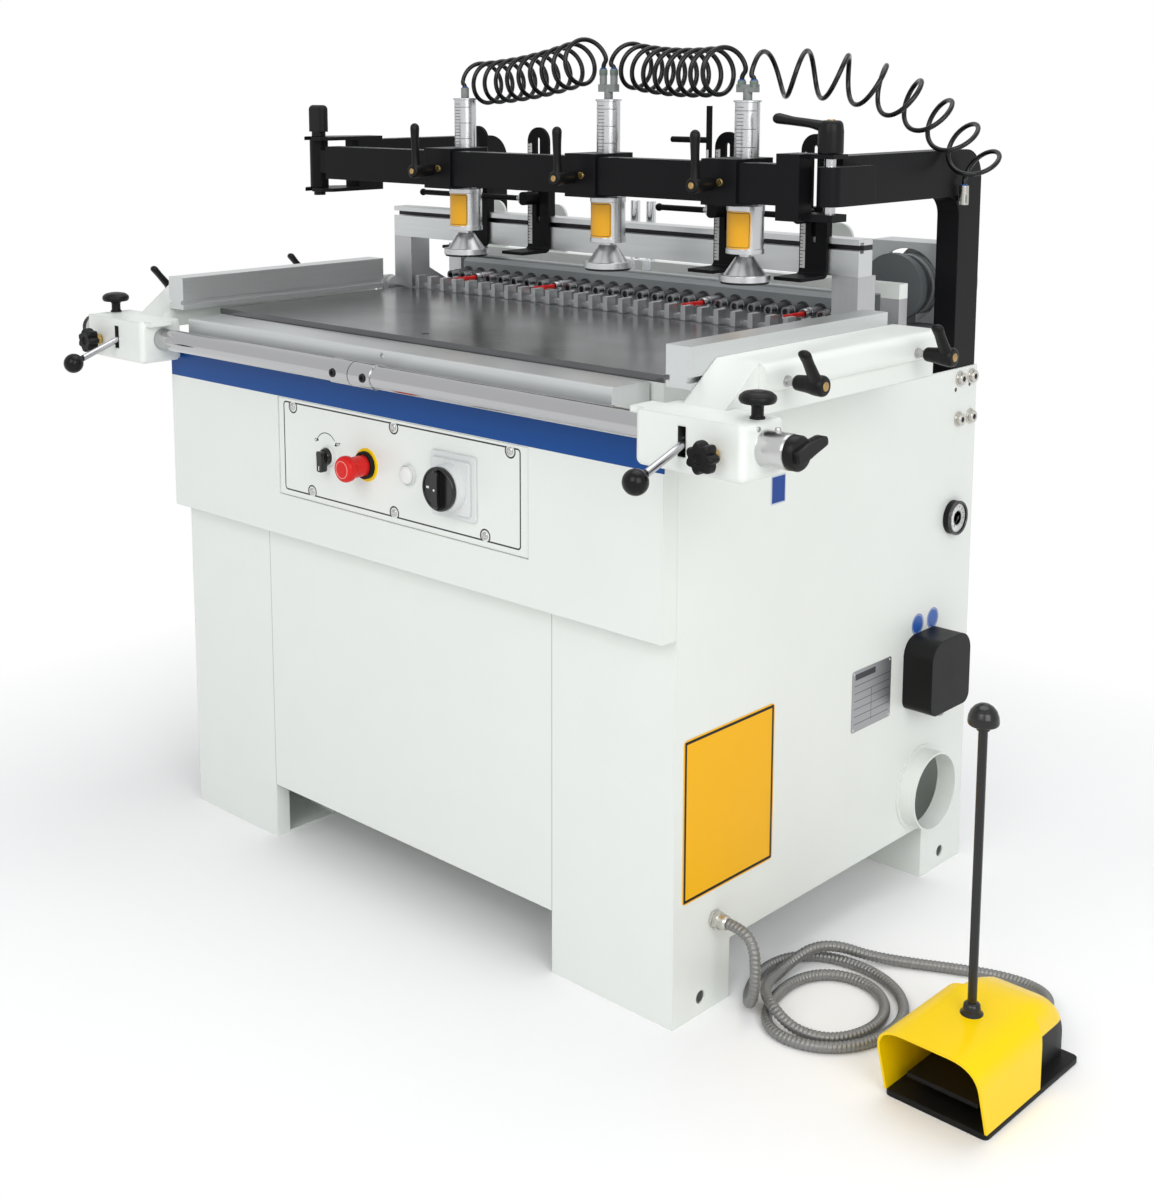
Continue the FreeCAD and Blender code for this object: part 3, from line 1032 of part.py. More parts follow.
def make_support_arms():
    """Two bent arms bolted inside the cabinet, with the fork and the hinge of the beam."""
    for_all = []
    side_view = [("reach_front", "reach_bottom"), ("mast_front", "reach_bottom"),
                 ("mast_front", "mast_bottom"), ("mast_front + mast_depth", "mast_bottom"),
                 ("mast_front + mast_depth", "reach_top"), ("reach_front", "reach_top")]
    rounds = [("reach_round", (4,)), ("reach_inner_round", (1,))]
    left = outline("left_arm", "YZ_Plane", side_view, "mast_width", rounds, x="-arm_face")
    cheek = block("left_cheek", "-arm_face", "reach_front", "lug_bottom", "mast_width",
                  "lug_rear - reach_front", "reach_bottom - lug_bottom")
    outer_x, inner_x = "-hinge_x - lug_half", "-arm_face + mast_width"
    lug = [(outer_x, "hinge_y - lug_half + lug_chamfer"),
           (outer_x + " + lug_chamfer", "hinge_y - lug_half"),
           (inner_x + " - lug_chamfer", "hinge_y - lug_half"),
           (inner_x, "hinge_y - lug_half + lug_chamfer"), (inner_x, "lug_rear"),
           ("-arm_face", "lug_rear"), (outer_x, "reach_front")]
    lugs = [outline("left_lug_%d" % number, "XY_Plane", lug, "lug_plate", z=z)
            for number, z in enumerate(("lug_bottom", "reach_top"))]
    mouth = block("lug_mouth_cut", "-hinge_x - lug_mouth / 2",
                  "hinge_y - lug_half - cut_over", "lug_bottom - cut_over", "lug_mouth",
                  "lug_half + cut_over", "reach_top + lug_plate - lug_bottom + 2 * cut_over")
    mouth_end = rod("lug_mouth_end", "-hinge_x", "hinge_y", "lug_bottom - cut_over",
                    "lug_mouth / 2", "reach_top + lug_plate - lug_bottom + 2 * cut_over")
    for_all.append(without("left_support", joined("left_support_whole",
                                                  [left, cheek] + lugs),
                           [mouth, mouth_end]))
    right = outline("right_arm", "YZ_Plane", side_view, "mast_width", rounds,
                    x="arm_face - mast_width")
    neck = block("right_neck", "hinge_x - neck_half", "hinge_y", "neck_bottom",
                 "2 * neck_half", "neck_rear - hinge_y", "neck_top - neck_bottom")
    eye = rod("right_neck_eye", "hinge_x", "hinge_y", "neck_bottom", "neck_half",
              "neck_top - neck_bottom")
    hinge = rod("hinge_rod", "hinge_x", "hinge_y", "jaw_bottom", "hinge_radius",
                "jaw_top - jaw_bottom")
    for_all.append(joined("right_support_whole", [right, neck, eye, hinge]))
    for side, low in (("left", "-cab_width / 2 - mast_bolt_head"),
                      ("right", "cab_width / 2")):
        for row in (0, 1):
            for column in (0, 1):
                for_all.append(rod(
                    "mast_bolt_%s_%d%d" % (side, row, column), low,
                    "mast_bolt_front + %d * mast_bolt_pitch" % column,
                    "mast_bolt_low + %d * mast_bolt_rise" % row, "mast_bolt_radius",
                    "mast_bolt_head", ALONG_X))
    socket = rod("mast_socket", "mast_fitting_x", "mast_fitting_y",
                 "mast_fitting_top - mast_fitting_height", "mast_fitting_radius",
                 "mast_fitting_height")
    clip = block("mast_clip", "arm_face - slide_gap", "mast_fitting_y",
                 "reach_bottom - mast_fitting_radius",
                 "mast_fitting_x - arm_face + slide_gap",
                 "mast_front + mast_fitting_radius - mast_fitting_y",
                 "mast_fitting_radius")
    for_all[1] = joined("right_support_fitted", [for_all[1], socket, clip])
    node("support_arms", *for_all)


def make_beam():
    """Pressor beam: a square tube with its barrel at the left and its hinge jaws at the right."""
    tube = block("beam_tube", "beam_left", "beam_front", "beam_bottom",
                 "beam_right - beam_left", "beam_depth", "beam_height")
    hollow = block("beam_hollow", "beam_left + beam_wall", "beam_front + beam_wall",
                   "beam_bottom + beam_wall", "jaw_left - beam_left - 2 * beam_wall",
                   "beam_depth - 2 * beam_wall", "beam_height - 2 * beam_wall")
    strap = block("barrel_strap_plate", "-hinge_x", "hinge_y - barrel_strap",
                  "beam_bottom + strap_trim", "hinge_x + beam_left + barrel_radius",
                  "barrel_strap", "beam_height - 2 * strap_trim")
    barrel = rod("barrel", "-hinge_x", "hinge_y", "lug_bottom + lug_plate + slide_gap",
                 "barrel_radius", "reach_top - lug_bottom - lug_plate - 2 * slide_gap")
    back = block("jaw_back", "jaw_left", "beam_front", "jaw_bottom",
                 "beam_right - jaw_left", "beam_depth", "jaw_top - jaw_bottom")
    jaws = [block("jaw_low", "jaw_left", "hinge_y - jaw_half", "jaw_bottom",
                  "hinge_x + jaw_over - jaw_left", "2 * jaw_half", "jaw_bottom_thick"),
            block("jaw_high", "jaw_left", "hinge_y - jaw_half", "jaw_top - jaw_top_thick",
                  "hinge_x + jaw_over - jaw_left", "2 * jaw_half", "jaw_top_thick")]
    bores = [rod("barrel_bore", "-hinge_x", "hinge_y", "lug_bottom",
                 "pin_radius + pin_gap", "reach_top - lug_bottom + cut_over"),
             rod("jaw_bore", "hinge_x", "hinge_y", "jaw_bottom - cut_over",
                 "hinge_radius + pin_gap", "jaw_top - jaw_bottom + 2 * cut_over")]
    node("pressor_beam", without("beam_bored", joined("beam_whole", [
        tube, strap, barrel, back] + jaws), [hollow] + bores))

    top = "reach_top + lug_plate + slide_gap"
    shank = rod("pin_shank", "-hinge_x", "hinge_y", "lug_bottom - slide_gap - pin_nut",
                "pin_radius", top + " + pin_collar - lug_bottom + slide_gap + pin_nut")
    nut = rod("pin_nut_disc", "-hinge_x", "hinge_y", "lug_bottom - slide_gap - pin_nut",
              "pin_nut_radius", "pin_nut")
    collar = rod("pin_collar_disc", "-hinge_x", "hinge_y", top, "pin_collar_radius",
                 "pin_collar")
    wing = block("pin_wing_block", "-hinge_x - pin_knob_width / 2",
                 "hinge_y - pin_knob_thick / 2", top + " + pin_collar", "pin_knob_width",
                 "pin_knob_thick", "pin_knob_height")
    wing = rounded("pin_wing", wing, "pin_knob_round",
                   lambda middle, way: runs_along(way, 2)
                   or middle.z > value_of(top + " + pin_collar") + 1)
    node("beam_pin", joined("beam_pin_whole", [shank, nut, collar, wing]))

    hub = rod("clamp_hub_rod", "hinge_x", "hinge_y", "jaw_top + slide_gap",
              "clamp_hub_radius", "clamp_hub")
    rise = Rotation(Vector(0, 1, 0), -(90 - SIZES["clamp_rise"]))
    arm_z = "jaw_top + slide_gap + clamp_hub - clamp_arm_radius"
    arm = rod("clamp_arm_rod", "hinge_x", "hinge_y", arm_z, "clamp_arm_radius",
              "clamp_arm", rise)
    tip = ball("clamp_tip", "hinge_x - clamp_arm * cos(clamp_rise * 1deg)", "hinge_y",
               arm_z + " + clamp_arm * sin(clamp_rise * 1deg)", "clamp_tip_radius")
    node("beam_lever", joined("beam_lever_whole", [hub, arm, tip]))


def make_pressor(number):
    """One pneumatic clamp: bracket round the beam, graduated column, sprung foot and lever."""
    x = "pressor_%d" % number
    label = "_%d" % number
    front = "beam_front - slide_gap - bracket_wall"
    low = "beam_bottom - slide_gap - bracket_wall"
    high = "beam_bottom + beam_height + slide_gap + bracket_wall"
    casting = block("bracket_block" + label, x + " - bracket_width / 2", front, low,
                    "bracket_width", "bracket_rear - (%s)" % front,
                    "%s - (%s)" % (high, low))
    casting = rounded("bracket_cast" + label, casting, "bracket_round",
                      lambda middle, way: runs_along(way, 2)
                      and middle.y > value_of("column_y"))
    window = block("bracket_window" + label, x + " - bracket_width / 2 - cut_over",
                   "beam_front - slide_gap", "beam_bottom - slide_gap",
                   "bracket_width + 2 * cut_over", "beam_depth + 2 * slide_gap",
                   "beam_height + 2 * slide_gap")
    bore = rod("bracket_bore" + label, x, "column_y", low + " - cut_over",
               "tube_radius + pin_gap", "%s - (%s) + 2 * cut_over" % (high, low))
    brass = rod("bracket_brass" + label, x + " + brass_aside", front, "beam_bottom + beam_height / 2",
                "brass_radius", "brass_head", TO_FRONT)
    node("pressor_bracket" + label,
         without("bracket_bored" + label, casting, [window, bore]), brass)

    tube = rod("column_tube" + label, x, "column_y", "cylinder_bottom + foot_rod_bore",
               "tube_radius", "tube_top - cylinder_bottom - foot_rod_bore")
    washer = rod("column_washer" + label, x, "column_y", "tube_top", "washer_radius",
                 "washer_thick")
    waist = rod("cylinder_waist_rod" + label, x, "column_y", "cylinder_bottom",
                "cylinder_radius - cylinder_waist", "cylinder_top - cylinder_bottom")
    rims = [rod("cylinder_rim_%d%s" % (end, label), x, "column_y", z, "cylinder_radius",
                "cylinder_rim")
            for end, z in enumerate(("cylinder_bottom", "cylinder_top - cylinder_rim"))]
    stem = rod("fitting_stem" + label, x, "column_y", "tube_top + washer_thick",
               "fitting_radius", "fitting_height")
    parts = [tube, washer, waist, stem] + rims
    if number > 1:
        rise = "branch_%d" % number
        shoulder = "tube_top + washer_thick + fitting_height"
        parts.append(block("branch_bar" + label, x + " - branch_half - branch_radius",
                           "column_y - branch_radius", shoulder + " - branch_radius",
                           "2 * branch_half + 2 * branch_radius", "2 * branch_radius",
                           "2 * branch_radius"))
        for end, sign in enumerate(("-", "+")):
            parts.append(rod("branch_%d%s" % (end, label),
                             "%s %s branch_half" % (x, sign), "column_y", shoulder,
                             "branch_radius", rise + " - washer_thick - fitting_height"))
    bore = rod("column_bore" + label, x, "column_y", "cylinder_bottom - cut_over",
               "foot_rod_radius + pin_gap", "foot_rod_bore + cut_over")
    node("pressor_column" + label,
         without("column_bored" + label, joined("column_whole" + label, parts), [bore]))

    pad = rod("foot_pad_disc" + label, x, "column_y", "foot_bottom",
              "foot_radius - foot_pad_in", "foot_pad")
    disc = rod("foot_disc_plate" + label, x, "column_y", "foot_bottom + foot_pad",
               "foot_radius", "foot_disc")
    cone_low = "foot_bottom + foot_pad + foot_disc"
    cone = taper("foot_cone" + label, x, "column_y", cone_low, "cone_radius",
                 "cone_top_radius", "cone_height")
    shaft = rod("foot_shaft" + label, x, "column_y", cone_low, "foot_rod_radius",
                "cylinder_bottom + foot_rod_up - (%s)" % cone_low)
    node("pressor_foot" + label, joined("foot_whole" + label, [pad, disc, cone, shaft]))

    hub_x = x + " - lever_out"
    hub = rod("lever_hub_rod" + label, hub_x, front + " - slide_gap", "lever_up",
              "lever_hub_radius", "lever_hub", TO_FRONT)
    lever_y = front + " - slide_gap - lever_hub + lever_hub_radius"
    arm = rod("lever_arm_rod" + label, hub_x, lever_y, "lever_up", "lever_arm_radius",
              "lever_arm")
    tip = ball("lever_tip" + label, hub_x, lever_y, "lever_up + lever_arm",
               "lever_tip_radius")
    node("pressor_lever" + label, joined("pressor_lever_whole" + label, [hub, arm, tip]))


def make_pedal():
    """Foot pedal: base with the switch body, sprung treadle, and hood with its carry handle."""
    right = "(pedal_left + pedal_width)"
    base = block("pedal_plate", "pedal_left", "pedal_front", "0", "pedal_width",
                 "pedal_rear - pedal_front", "pedal_base")
    base = rounded("pedal_plate_rounded", base, "body_round",
                   lambda middle, way: runs_along(way, 2)
                   and middle.y > value_of("hood_rear"))
    body = outline("switch_body", "YZ_Plane",
                   [("hood_rear", "pedal_base"), ("pedal_rear - body_round", "pedal_base"),
                    ("pedal_rear - body_round", "body_nose_up"),
                    ("body_nose", "pedal_hood_up - body_in"),
                    ("hood_rear + body_in", "pedal_hood_up - hood_wall"),
                    ("hood_rear", "pedal_hood_up - hood_wall")],
                   "pedal_width - 2 * body_in", x="pedal_left + body_in")
    gland = rod("pedal_gland_rod", "pedal_left + pedal_width / 2",
                "pedal_rear - body_round", "pedal_gland_up", "pedal_gland_radius",
                "pedal_gland + body_round", ALONG_Y)
    pin = rod("treadle_pin_rod", "pedal_left + hood_wall", "treadle_hinge", "treadle_up",
              "treadle_pin", "pedal_width - 2 * hood_wall", ALONG_X)
    node("pedal_base", joined("pedal_base_whole", [base, body, gland]), pin)

    section = [("pedal_left", "pedal_base"), ("pedal_left", "hood_shoulder"),
               ("pedal_left + hood_narrow", "pedal_hood_up"),
               (right + " - hood_narrow", "pedal_hood_up"), (right, "hood_shoulder"),
               (right, "pedal_base")]
    shell = outline("hood_shell", "XZ_Plane", section, "hood_rear - hood_front_top",
                    y="hood_front_top", back=True)
    hollow = outline("hood_hollow", "XZ_Plane",
                     [("pedal_left + hood_wall", "pedal_base - cut_over"),
                      ("pedal_left + hood_wall", "hood_shoulder"),
                      ("pedal_left + hood_narrow + hood_wall / 2",
                       "pedal_hood_up - hood_wall"),
                      (right + " - hood_narrow - hood_wall / 2",
                       "pedal_hood_up - hood_wall"),
                      (right + " - hood_wall", "hood_shoulder"),
                      (right + " - hood_wall", "pedal_base - cut_over")],
                     "hood_rear - hood_front_top - hood_wall + cut_over",
                     y="hood_front_top - cut_over", back=True)
    slant = outline("hood_slant", "YZ_Plane",
                    [("hood_front_top - cut_over", "0"), ("pedal_front", "0"),
                     ("pedal_front", "pedal_base"), ("hood_front_top", "pedal_hood_up"),
                     ("hood_front_top - cut_over", "pedal_hood_up")],
                    "pedal_width + 2 * cut_over", x="pedal_left - cut_over")
    boss = rod("handle_boss_rod", "handle_x", "handle_y", "pedal_hood_up - hood_wall",
               "handle_boss_radius", "handle_boss")
    stick = rod("handle_stick", "handle_x", "handle_y", "pedal_hood_up", "handle_radius",
                "handle_top - pedal_hood_up")
    dome_profile = [("0", "0"), ("dome_radius * 0.8", "0"), ("dome_radius", "dome_depth / 2"),
                    ("dome_radius * 0.85", "dome_height * 0.75"),
                    ("dome_radius * 0.5", "dome_height"), ("0", "dome_height")]
    dome = turned("handle_dome", dome_profile, "handle_x", "handle_y", "handle_top")
    node("pedal_guard", joined("pedal_guard_whole", [
        without("hood_cut", shell, [hollow, slant]), boss, stick, dome]))

    low = "pedal_left + (pedal_width - treadle_width) / 2"
    plate = block("treadle_plate", low, "treadle_front",
                  "treadle_up - treadle_boss", "treadle_width",
                  "treadle_hinge - treadle_front", "treadle_thick")
    tube = rod("treadle_tube", low, "treadle_hinge", "treadle_up", "treadle_boss",
               "treadle_width", ALONG_X)
    hole = rod("treadle_hole", low + " - cut_over", "treadle_hinge", "treadle_up",
               "treadle_pin + pin_gap", "treadle_width + 2 * cut_over", ALONG_X)
    node("pedal_treadle", without("treadle_bored", joined("treadle_whole", [plate, tube]),
                                  [hole]))


CONDUIT_ROUTE = [
    (546.5, 84, 126), (573, 84, 126.5), (593, 80, 109), (597, 77, 78), (596, 77, 54),
    (586, 84, 32), (566, 105, 13), (544, 134, 7.8), (529, 168, 7.8), (521, 205, 7.8),
    (528, 248, 7.8), (556, 282, 7.8), (602, 296, 7.8), (652, 293, 7.8), (698, 269, 7.8),
    (729, 226, 7.8), (735, 174, 7.8), (721, 124, 7.8), (688, 88, 7.8), (645, 75, 7.8),
    (611, 85, 7.8), (588, 115, 7.8), (574, 158, 7.8), (571, 206, 7.8), (588, 244, 7.8),
    (622, 263, 7.8), (662, 260, 7.8), (697, 233, 7.8), (713, 192, 7.8), (708, 146, 7.8),
    (683, 110, 7.8), (644, 96, 12), (608, 101, 26), (580, 121, 27), (562, 154, 22),
    (549, 194, 12), (546, 234, 16), (557, 266, 27), (580, 293, 27), (612, 322, 12),
    (660, 352, 7.8), (712, 381, 7.8), (766, 407, 7.8), (816, 410, 10), (852, 382, 18),
    (865, 346, 22), (865, 312, 22)]


def route_wire(points):
    """Straight runs joined by tangent arcs, each as large as its two runs allow."""
    points = [Vector(*point) for point in points]
    route_share = value_of("route_share")
    edges = []
    radii = []
    last = points[0]
    for before, corner, after in zip(points, points[1:], points[2:]):
        into, out = corner - before, after - corner
        reach = route_share * min(into.Length, out.Length)
        turn = into.getAngle(out)
        start = corner - Vector(into).normalize() * reach
        end = corner + Vector(out).normalize() * reach
        edges.append(Part.LineSegment(last, start).toShape())
        edges.append(Part.Arc(start, arc_middle(start, end, into, turn), end).toShape())
        radii.append(reach / math.tan(turn / 2))
        last = end
    edges.append(Part.LineSegment(last, points[-1]).toShape())
    return Part.Wire(edges), radii


def arc_middle(start, end, into, turn):
    """The middle of the arc that leaves start along into and turns by this angle to end."""
    chord = end - start
    along = Vector(chord).normalize()
    side = into - along * (into * along)
    if side.Length < 1e-9:
        return (start + end) / 2
    return (start + end) / 2 + side.normalize() * (chord.Length / 2 * math.tan(turn / 4))


def tube_on(wire, radius):
    """A solid tube swept along a wire from a circle square to its start."""
    edge = wire.Edges[0]
    start = edge.valueAt(edge.FirstParameter)
    ahead = edge.tangentAt(edge.FirstParameter)
    circle = Part.Wire(Part.makeCircle(radius, start, ahead))
    shell = wire.makePipeShell([circle], True, False)
    return shell if shell.ShapeType == "Solid" else Part.Solid(shell)


def place_cord(name, shape):
    cord = doc.addObject("Part::Feature", name)
    cord.Label = name
    cord.Shape = shape
    put(cord, "datum_x", "datum_y")
    NODES.append(cord)


def make_conduit():
    wire, radii = route_wire(CONDUIT_ROUTE)
    radius = value_of("conduit_radius")
    tube = tube_on(wire, radius)
    print("conduit length %.0f, least gap %.1f, radii %s"
          % (wire.Length, least_gap(wire, radius, value_of("conduit_loop")),
             [round(r) for r in radii]))
    print("conduit volume over section times length: %.4f"
          % (tube.Volume / (math.pi * radius ** 2 * wire.Length)))
    place_cord("conduit", tube)


def coil_points(start, end, bend, turns):
    """Points and directions, a quarter turn apart, on a coil that follows a bent axis.

    The axis is a quadratic curve. The coil leaves start upward on one side of it and comes
    down on the other side at end, after a whole number of turns and a half.
    """
    coil = value_of("hose_coil")
    first, last, bend = Vector(*start), Vector(*end), Vector(*bend)

    def side_of(way):
        return way.cross(Vector(0, 0, 1)).normalize()

    axis_start = first - side_of(bend - first) * coil
    axis_end = last + side_of(last - bend) * coil

    def spot(share):
        axis = (axis_start * (1 - share) ** 2 + bend * (2 * share * (1 - share))
                + axis_end * share ** 2)
        ahead = ((bend - axis_start) * (1 - share) + (axis_end - bend) * share).normalize()
        side = side_of(ahead)
        angle = 2 * math.pi * turns * share
        return axis + side * (coil * math.cos(angle)) + side.cross(ahead) * (
            coil * math.sin(angle))

    count = round(4 * turns)
    places = [number / count for number in range(count + 1)]
    step = 1e-5
    points = [spot(place) for place in places]
    ways = [(spot(place + step) - spot(place - step)).normalize() for place in places]
    return points, ways


def biarc(start, way, end, end_way):
    """Two arcs that leave start along way and reach end along end_way."""
    reach = end - start
    total = way + end_way
    spread = 2 * (1 - way * end_way)
    if spread < 1e-9:
        length = reach * reach / (4 * (reach * way))
    else:
        across = reach * total
        length = (-across + math.sqrt(across ** 2 + spread * (reach * reach))) / spread
    knee = (start + way * length + end - end_way * length) / 2
    knee_way = (end - end_way * length - start - way * length).normalize()
    return [arc_between(start, way, knee), arc_between(knee, knee_way, end)]


def arc_between(start, way, end):
    turn = 2 * way.getAngle(end - start)
    if turn < 1e-6:
        return Part.LineSegment(start, end).toShape()
    return Part.Arc(start, arc_middle(start, end, way, turn), end).toShape()


def make_hose(name, start, end, bend, turns):
    """Coiled air hose from one fitting to the next, as one unbroken tube."""
    radius = value_of("hose_radius")
    lead = 2 * radius
    lift = Vector(0, 0, lead)
    first, last = Vector(*start), Vector(*end)
    points, ways = coil_points(first + lift, last + lift * 2, bend, turns)
    edges = [Part.LineSegment(first, first + lift).toShape()]
    points = [first + lift] + points[1:] + [last + lift]
    ways = [Vector(0, 0, 1)] + ways[1:] + [Vector(0, 0, -1)]
    for number in range(len(points) - 1):
        edges += biarc(points[number], ways[number], points[number + 1], ways[number + 1])
    edges.append(Part.LineSegment(last + lift, last).toShape())
    wire = Part.Wire(edges)
    tube = tube_on(wire, radius)
    print("%s length %.0f, least gap %.1f, volume over section times length %.4f"
          % (name, wire.Length, least_gap(wire, radius, value_of("hose_coil")),
             tube.Volume / (math.pi * radius ** 2 * wire.Length)))
    place_cord(name, tube)


def least_gap(wire, radius, coil):
    """The least gap of a tube to itself, between points about half a turn apart or more."""
    count = int(wire.Length / radius)
    spots = wire.discretize(count)
    apart = int(3 * coil / radius)
    return min((spots[a] - spots[b]).Length for a in range(count)
               for b in range(a + apart, count)) - 2 * radius


def make_hoses():
    top = value_of("tube_top")
    back = value_of("column_y")
    half = value_of("branch_half")
    one, two, three = (value_of("pressor_%d" % number) for number in (1, 2, 3))
    fitted = top + value_of("washer_thick + fitting_height")
    high_2, high_3 = top + value_of("branch_2"), top + value_of("branch_3")
    sag = value_of("hose_radius")
    make_hose("air_hose_left", (one, back, fitted), (two - half, back, high_2),
              ((one + two) / 2, back, (fitted + high_2) / 2 - sag), 9.5)
    make_hose("air_hose_middle", (two + half, back, high_2), (three - half, back, high_3),
              ((two + three) / 2, back, (high_2 + high_3) / 2 - sag), 8.5)
    make_hose("air_hose_right", (three + half, back, high_3),
              (value_of("mast_fitting_x"), value_of("mast_fitting_y"),
               value_of("mast_fitting_top")),
              (565, 450, 1245), 7.5)


make_cabinet()
make_table_frame()
make_table()
make_apron()
make_control_plate()
make_controls()
make_front_rail()
make_front_bar()
make_side_fittings()
make_support_arms()
make_tilt_frame()
make_comb()
make_stop_rail()
make_spindle_head()
make_spindles()
for stop_number in (1, 2, 3, 4):
    make_edge_stop(stop_number)
for side_name in ("left", "right"):
    make_side_carrier(side_name)
    make_side_fence(side_name)
    make_side_levers(side_name)
make_beam()
for pressor_number in (1, 2, 3):
    make_pressor(pressor_number)
make_pedal()
make_conduit()
make_hoses()

doc.recompute()
for feature in doc.Objects:
    if "Invalid" in feature.State or "Error" in feature.State:
        raise RuntimeError("%s did not build: %s" % (feature.Name, feature.State))
for finished in NODES:
    if finished.Shape.isNull() or not finished.Shape.isValid():
        raise RuntimeError("%s has no valid shape" % finished.Label)
os.makedirs("parts", exist_ok=True)
for finished in NODES:
    finished.Shape.exportStep("parts/%s.step" % finished.Label)
print("%d sub-parts" % len(NODES))
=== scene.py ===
"""Looks of the dowel boring machine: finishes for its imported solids, and its detailed pieces.

Lengths in the builders are in machine millimetres: X along the spindle row, Y back from the
front panel, Z up from the floor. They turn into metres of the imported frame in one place.
"""

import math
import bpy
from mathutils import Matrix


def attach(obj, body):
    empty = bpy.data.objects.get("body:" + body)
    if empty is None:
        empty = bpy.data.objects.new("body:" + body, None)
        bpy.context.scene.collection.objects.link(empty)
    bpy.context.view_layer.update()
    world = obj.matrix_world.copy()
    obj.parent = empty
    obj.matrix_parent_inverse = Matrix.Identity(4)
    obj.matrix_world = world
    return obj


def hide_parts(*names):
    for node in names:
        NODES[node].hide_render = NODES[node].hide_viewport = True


bl_info = {
    "name": "Dowel boring machine",
    "version": (1, 0, 0),
    "blender": (4, 5, 0),
    "location": "View3D > Sidebar > Boring machine",
    "description": "Builds the finishes and fine pieces of a dowel boring machine",
    "category": "Object",
}

import bmesh
import bpy
import numpy as np
from bpy.props import FloatProperty, FloatVectorProperty, IntProperty, PointerProperty
from mathutils import Matrix

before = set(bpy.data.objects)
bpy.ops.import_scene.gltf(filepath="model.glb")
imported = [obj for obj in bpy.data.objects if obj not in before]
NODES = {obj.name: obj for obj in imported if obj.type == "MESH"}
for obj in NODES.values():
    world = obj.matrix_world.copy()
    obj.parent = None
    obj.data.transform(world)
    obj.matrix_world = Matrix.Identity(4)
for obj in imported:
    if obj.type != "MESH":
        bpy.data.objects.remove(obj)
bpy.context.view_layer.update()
DATUM = np.array([-115.5, -292.2, 0.0])

# Directions, and places in machine millimetres that more than one piece uses
RIGHT, FRONT, BACK = (1, 0, 0), (0, -1, 0), (0, 1, 0)
UP, DOWN = (0, 0, 1), (0, 0, -1)
OBLIQUE = (0.43, 0.47, 0.77)
SIDE_X = 522.5
PLATE_Y = -26.5
CONTROL_Z = 668.0
SELECTOR_X, EMERGENCY_X, START_X, MAINS_X = -122.0, -36.0, 56.0, 150.0
BAR_Y, BAR_Z = -66.0, 810.0
CASTINGS = {"left": (-475.0, -1), "right": (529.0, 1)}
PRESSORS = ((1, -190.0), (2, 118.5), (3, 375.0))
PRESSOR_Y = 323.0
EDGE_STOPS = ((1, -270.5), (2, -127.5), (3, 261.5), (4, 417.0))
HINGE_X, HINGE_Y = 532.0, 296.0
SPINDLE_PITCH = 32.0
PEDAL_X = 865.0


def metres(points):
    """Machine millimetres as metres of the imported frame."""
    return (np.asarray(points, float) + DATUM) / 1000


# Surfaces


class Shell:
    """One piece in the making: surfaces gathered one by one, each a grid of points."""

    def __init__(self):
        self.points = []
        self.faces = []
        self.finishes = []
        self.total = 0

    def grid(self, points, wrap=False, ends=False, finish=0):
        """A surface over two parameters: rows of points, wrapped across where it closes.

        Neighbours in both directions share a four-sided face. With ends, the first and the
        last row are each closed by a fan to their middle.
        """
        points = np.asarray(points, float)
        rows, across = points.shape[:2]
        row, column = np.meshgrid(np.arange(rows - 1), np.arange(across if wrap else across - 1),
                                  indexing="ij")
        after = (column + 1) % across
        quads = np.stack([row * across + column, row * across + after,
                          (row + 1) * across + after, (row + 1) * across + column], -1)
        self.add(points.reshape(-1, 3), quads.reshape(-1, 4), finish)
        if ends:
            for edge, turn in ((points[0], -1), (points[-1], 1)):
                self.fan(edge[::turn], finish)

    def fan(self, ring, finish=0):
        """A flat or crowned closure: each side of the ring joined to the ring's middle."""
        count = len(ring)
        side = np.arange(count)
        middle = np.full(count, count)
        self.add(np.vstack([ring, ring.mean(0)]),
                 np.stack([side, (side + 1) % count, middle, middle], -1), finish)

    def add(self, points, faces, finish=0):
        """Any points and faces, whose numbers count from the first of these points."""
        self.points.append(points)
        self.faces.append(faces + self.total)
        self.finishes.append(np.full(len(faces), finish))
        self.total += len(points)

    def piece(self, name, body, finishes, slot, replaces=(), smooth=40):
        """Put the surfaces into one mesh, which rides on a body of the frame.

        Edges that turn by more than the smooth angle, in degrees, stay sharp.
        """
        points = metres(np.vstack(self.points))
        faces = np.vstack(self.faces)
        finish = np.concatenate(self.finishes)
        mesh = bpy.data.meshes.new(name)
        mesh.from_pydata(points.tolist(), [], [f[:3] if f[2] == f[3] else f
                                               for f in faces.tolist()])
        mesh.polygons.foreach_set("material_index", finish.astype(np.int32))
        for made in finishes:
            mesh.materials.append(made.material)
        mesh.validate()
        mesh.update()
        made = bpy.data.objects.new(name, mesh)
        bpy.context.scene.collection.objects.link(made)
        tidy_mesh(mesh)
        mesh.shade_smooth()
        mesh.set_sharp_from_angle(angle=math.radians(smooth))
        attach(made, body)
        if replaces:
            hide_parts(*replaces)
        return made


def tidy_mesh(mesh):
    """Merge doubled points and turn every face outward."""
    work = bmesh.new()
    work.from_mesh(mesh)
    bmesh.ops.remove_doubles(work, verts=work.verts, dist=2e-6)
    bmesh.ops.recalc_face_normals(work, faces=work.faces)
    work.to_mesh(mesh)
    work.free()


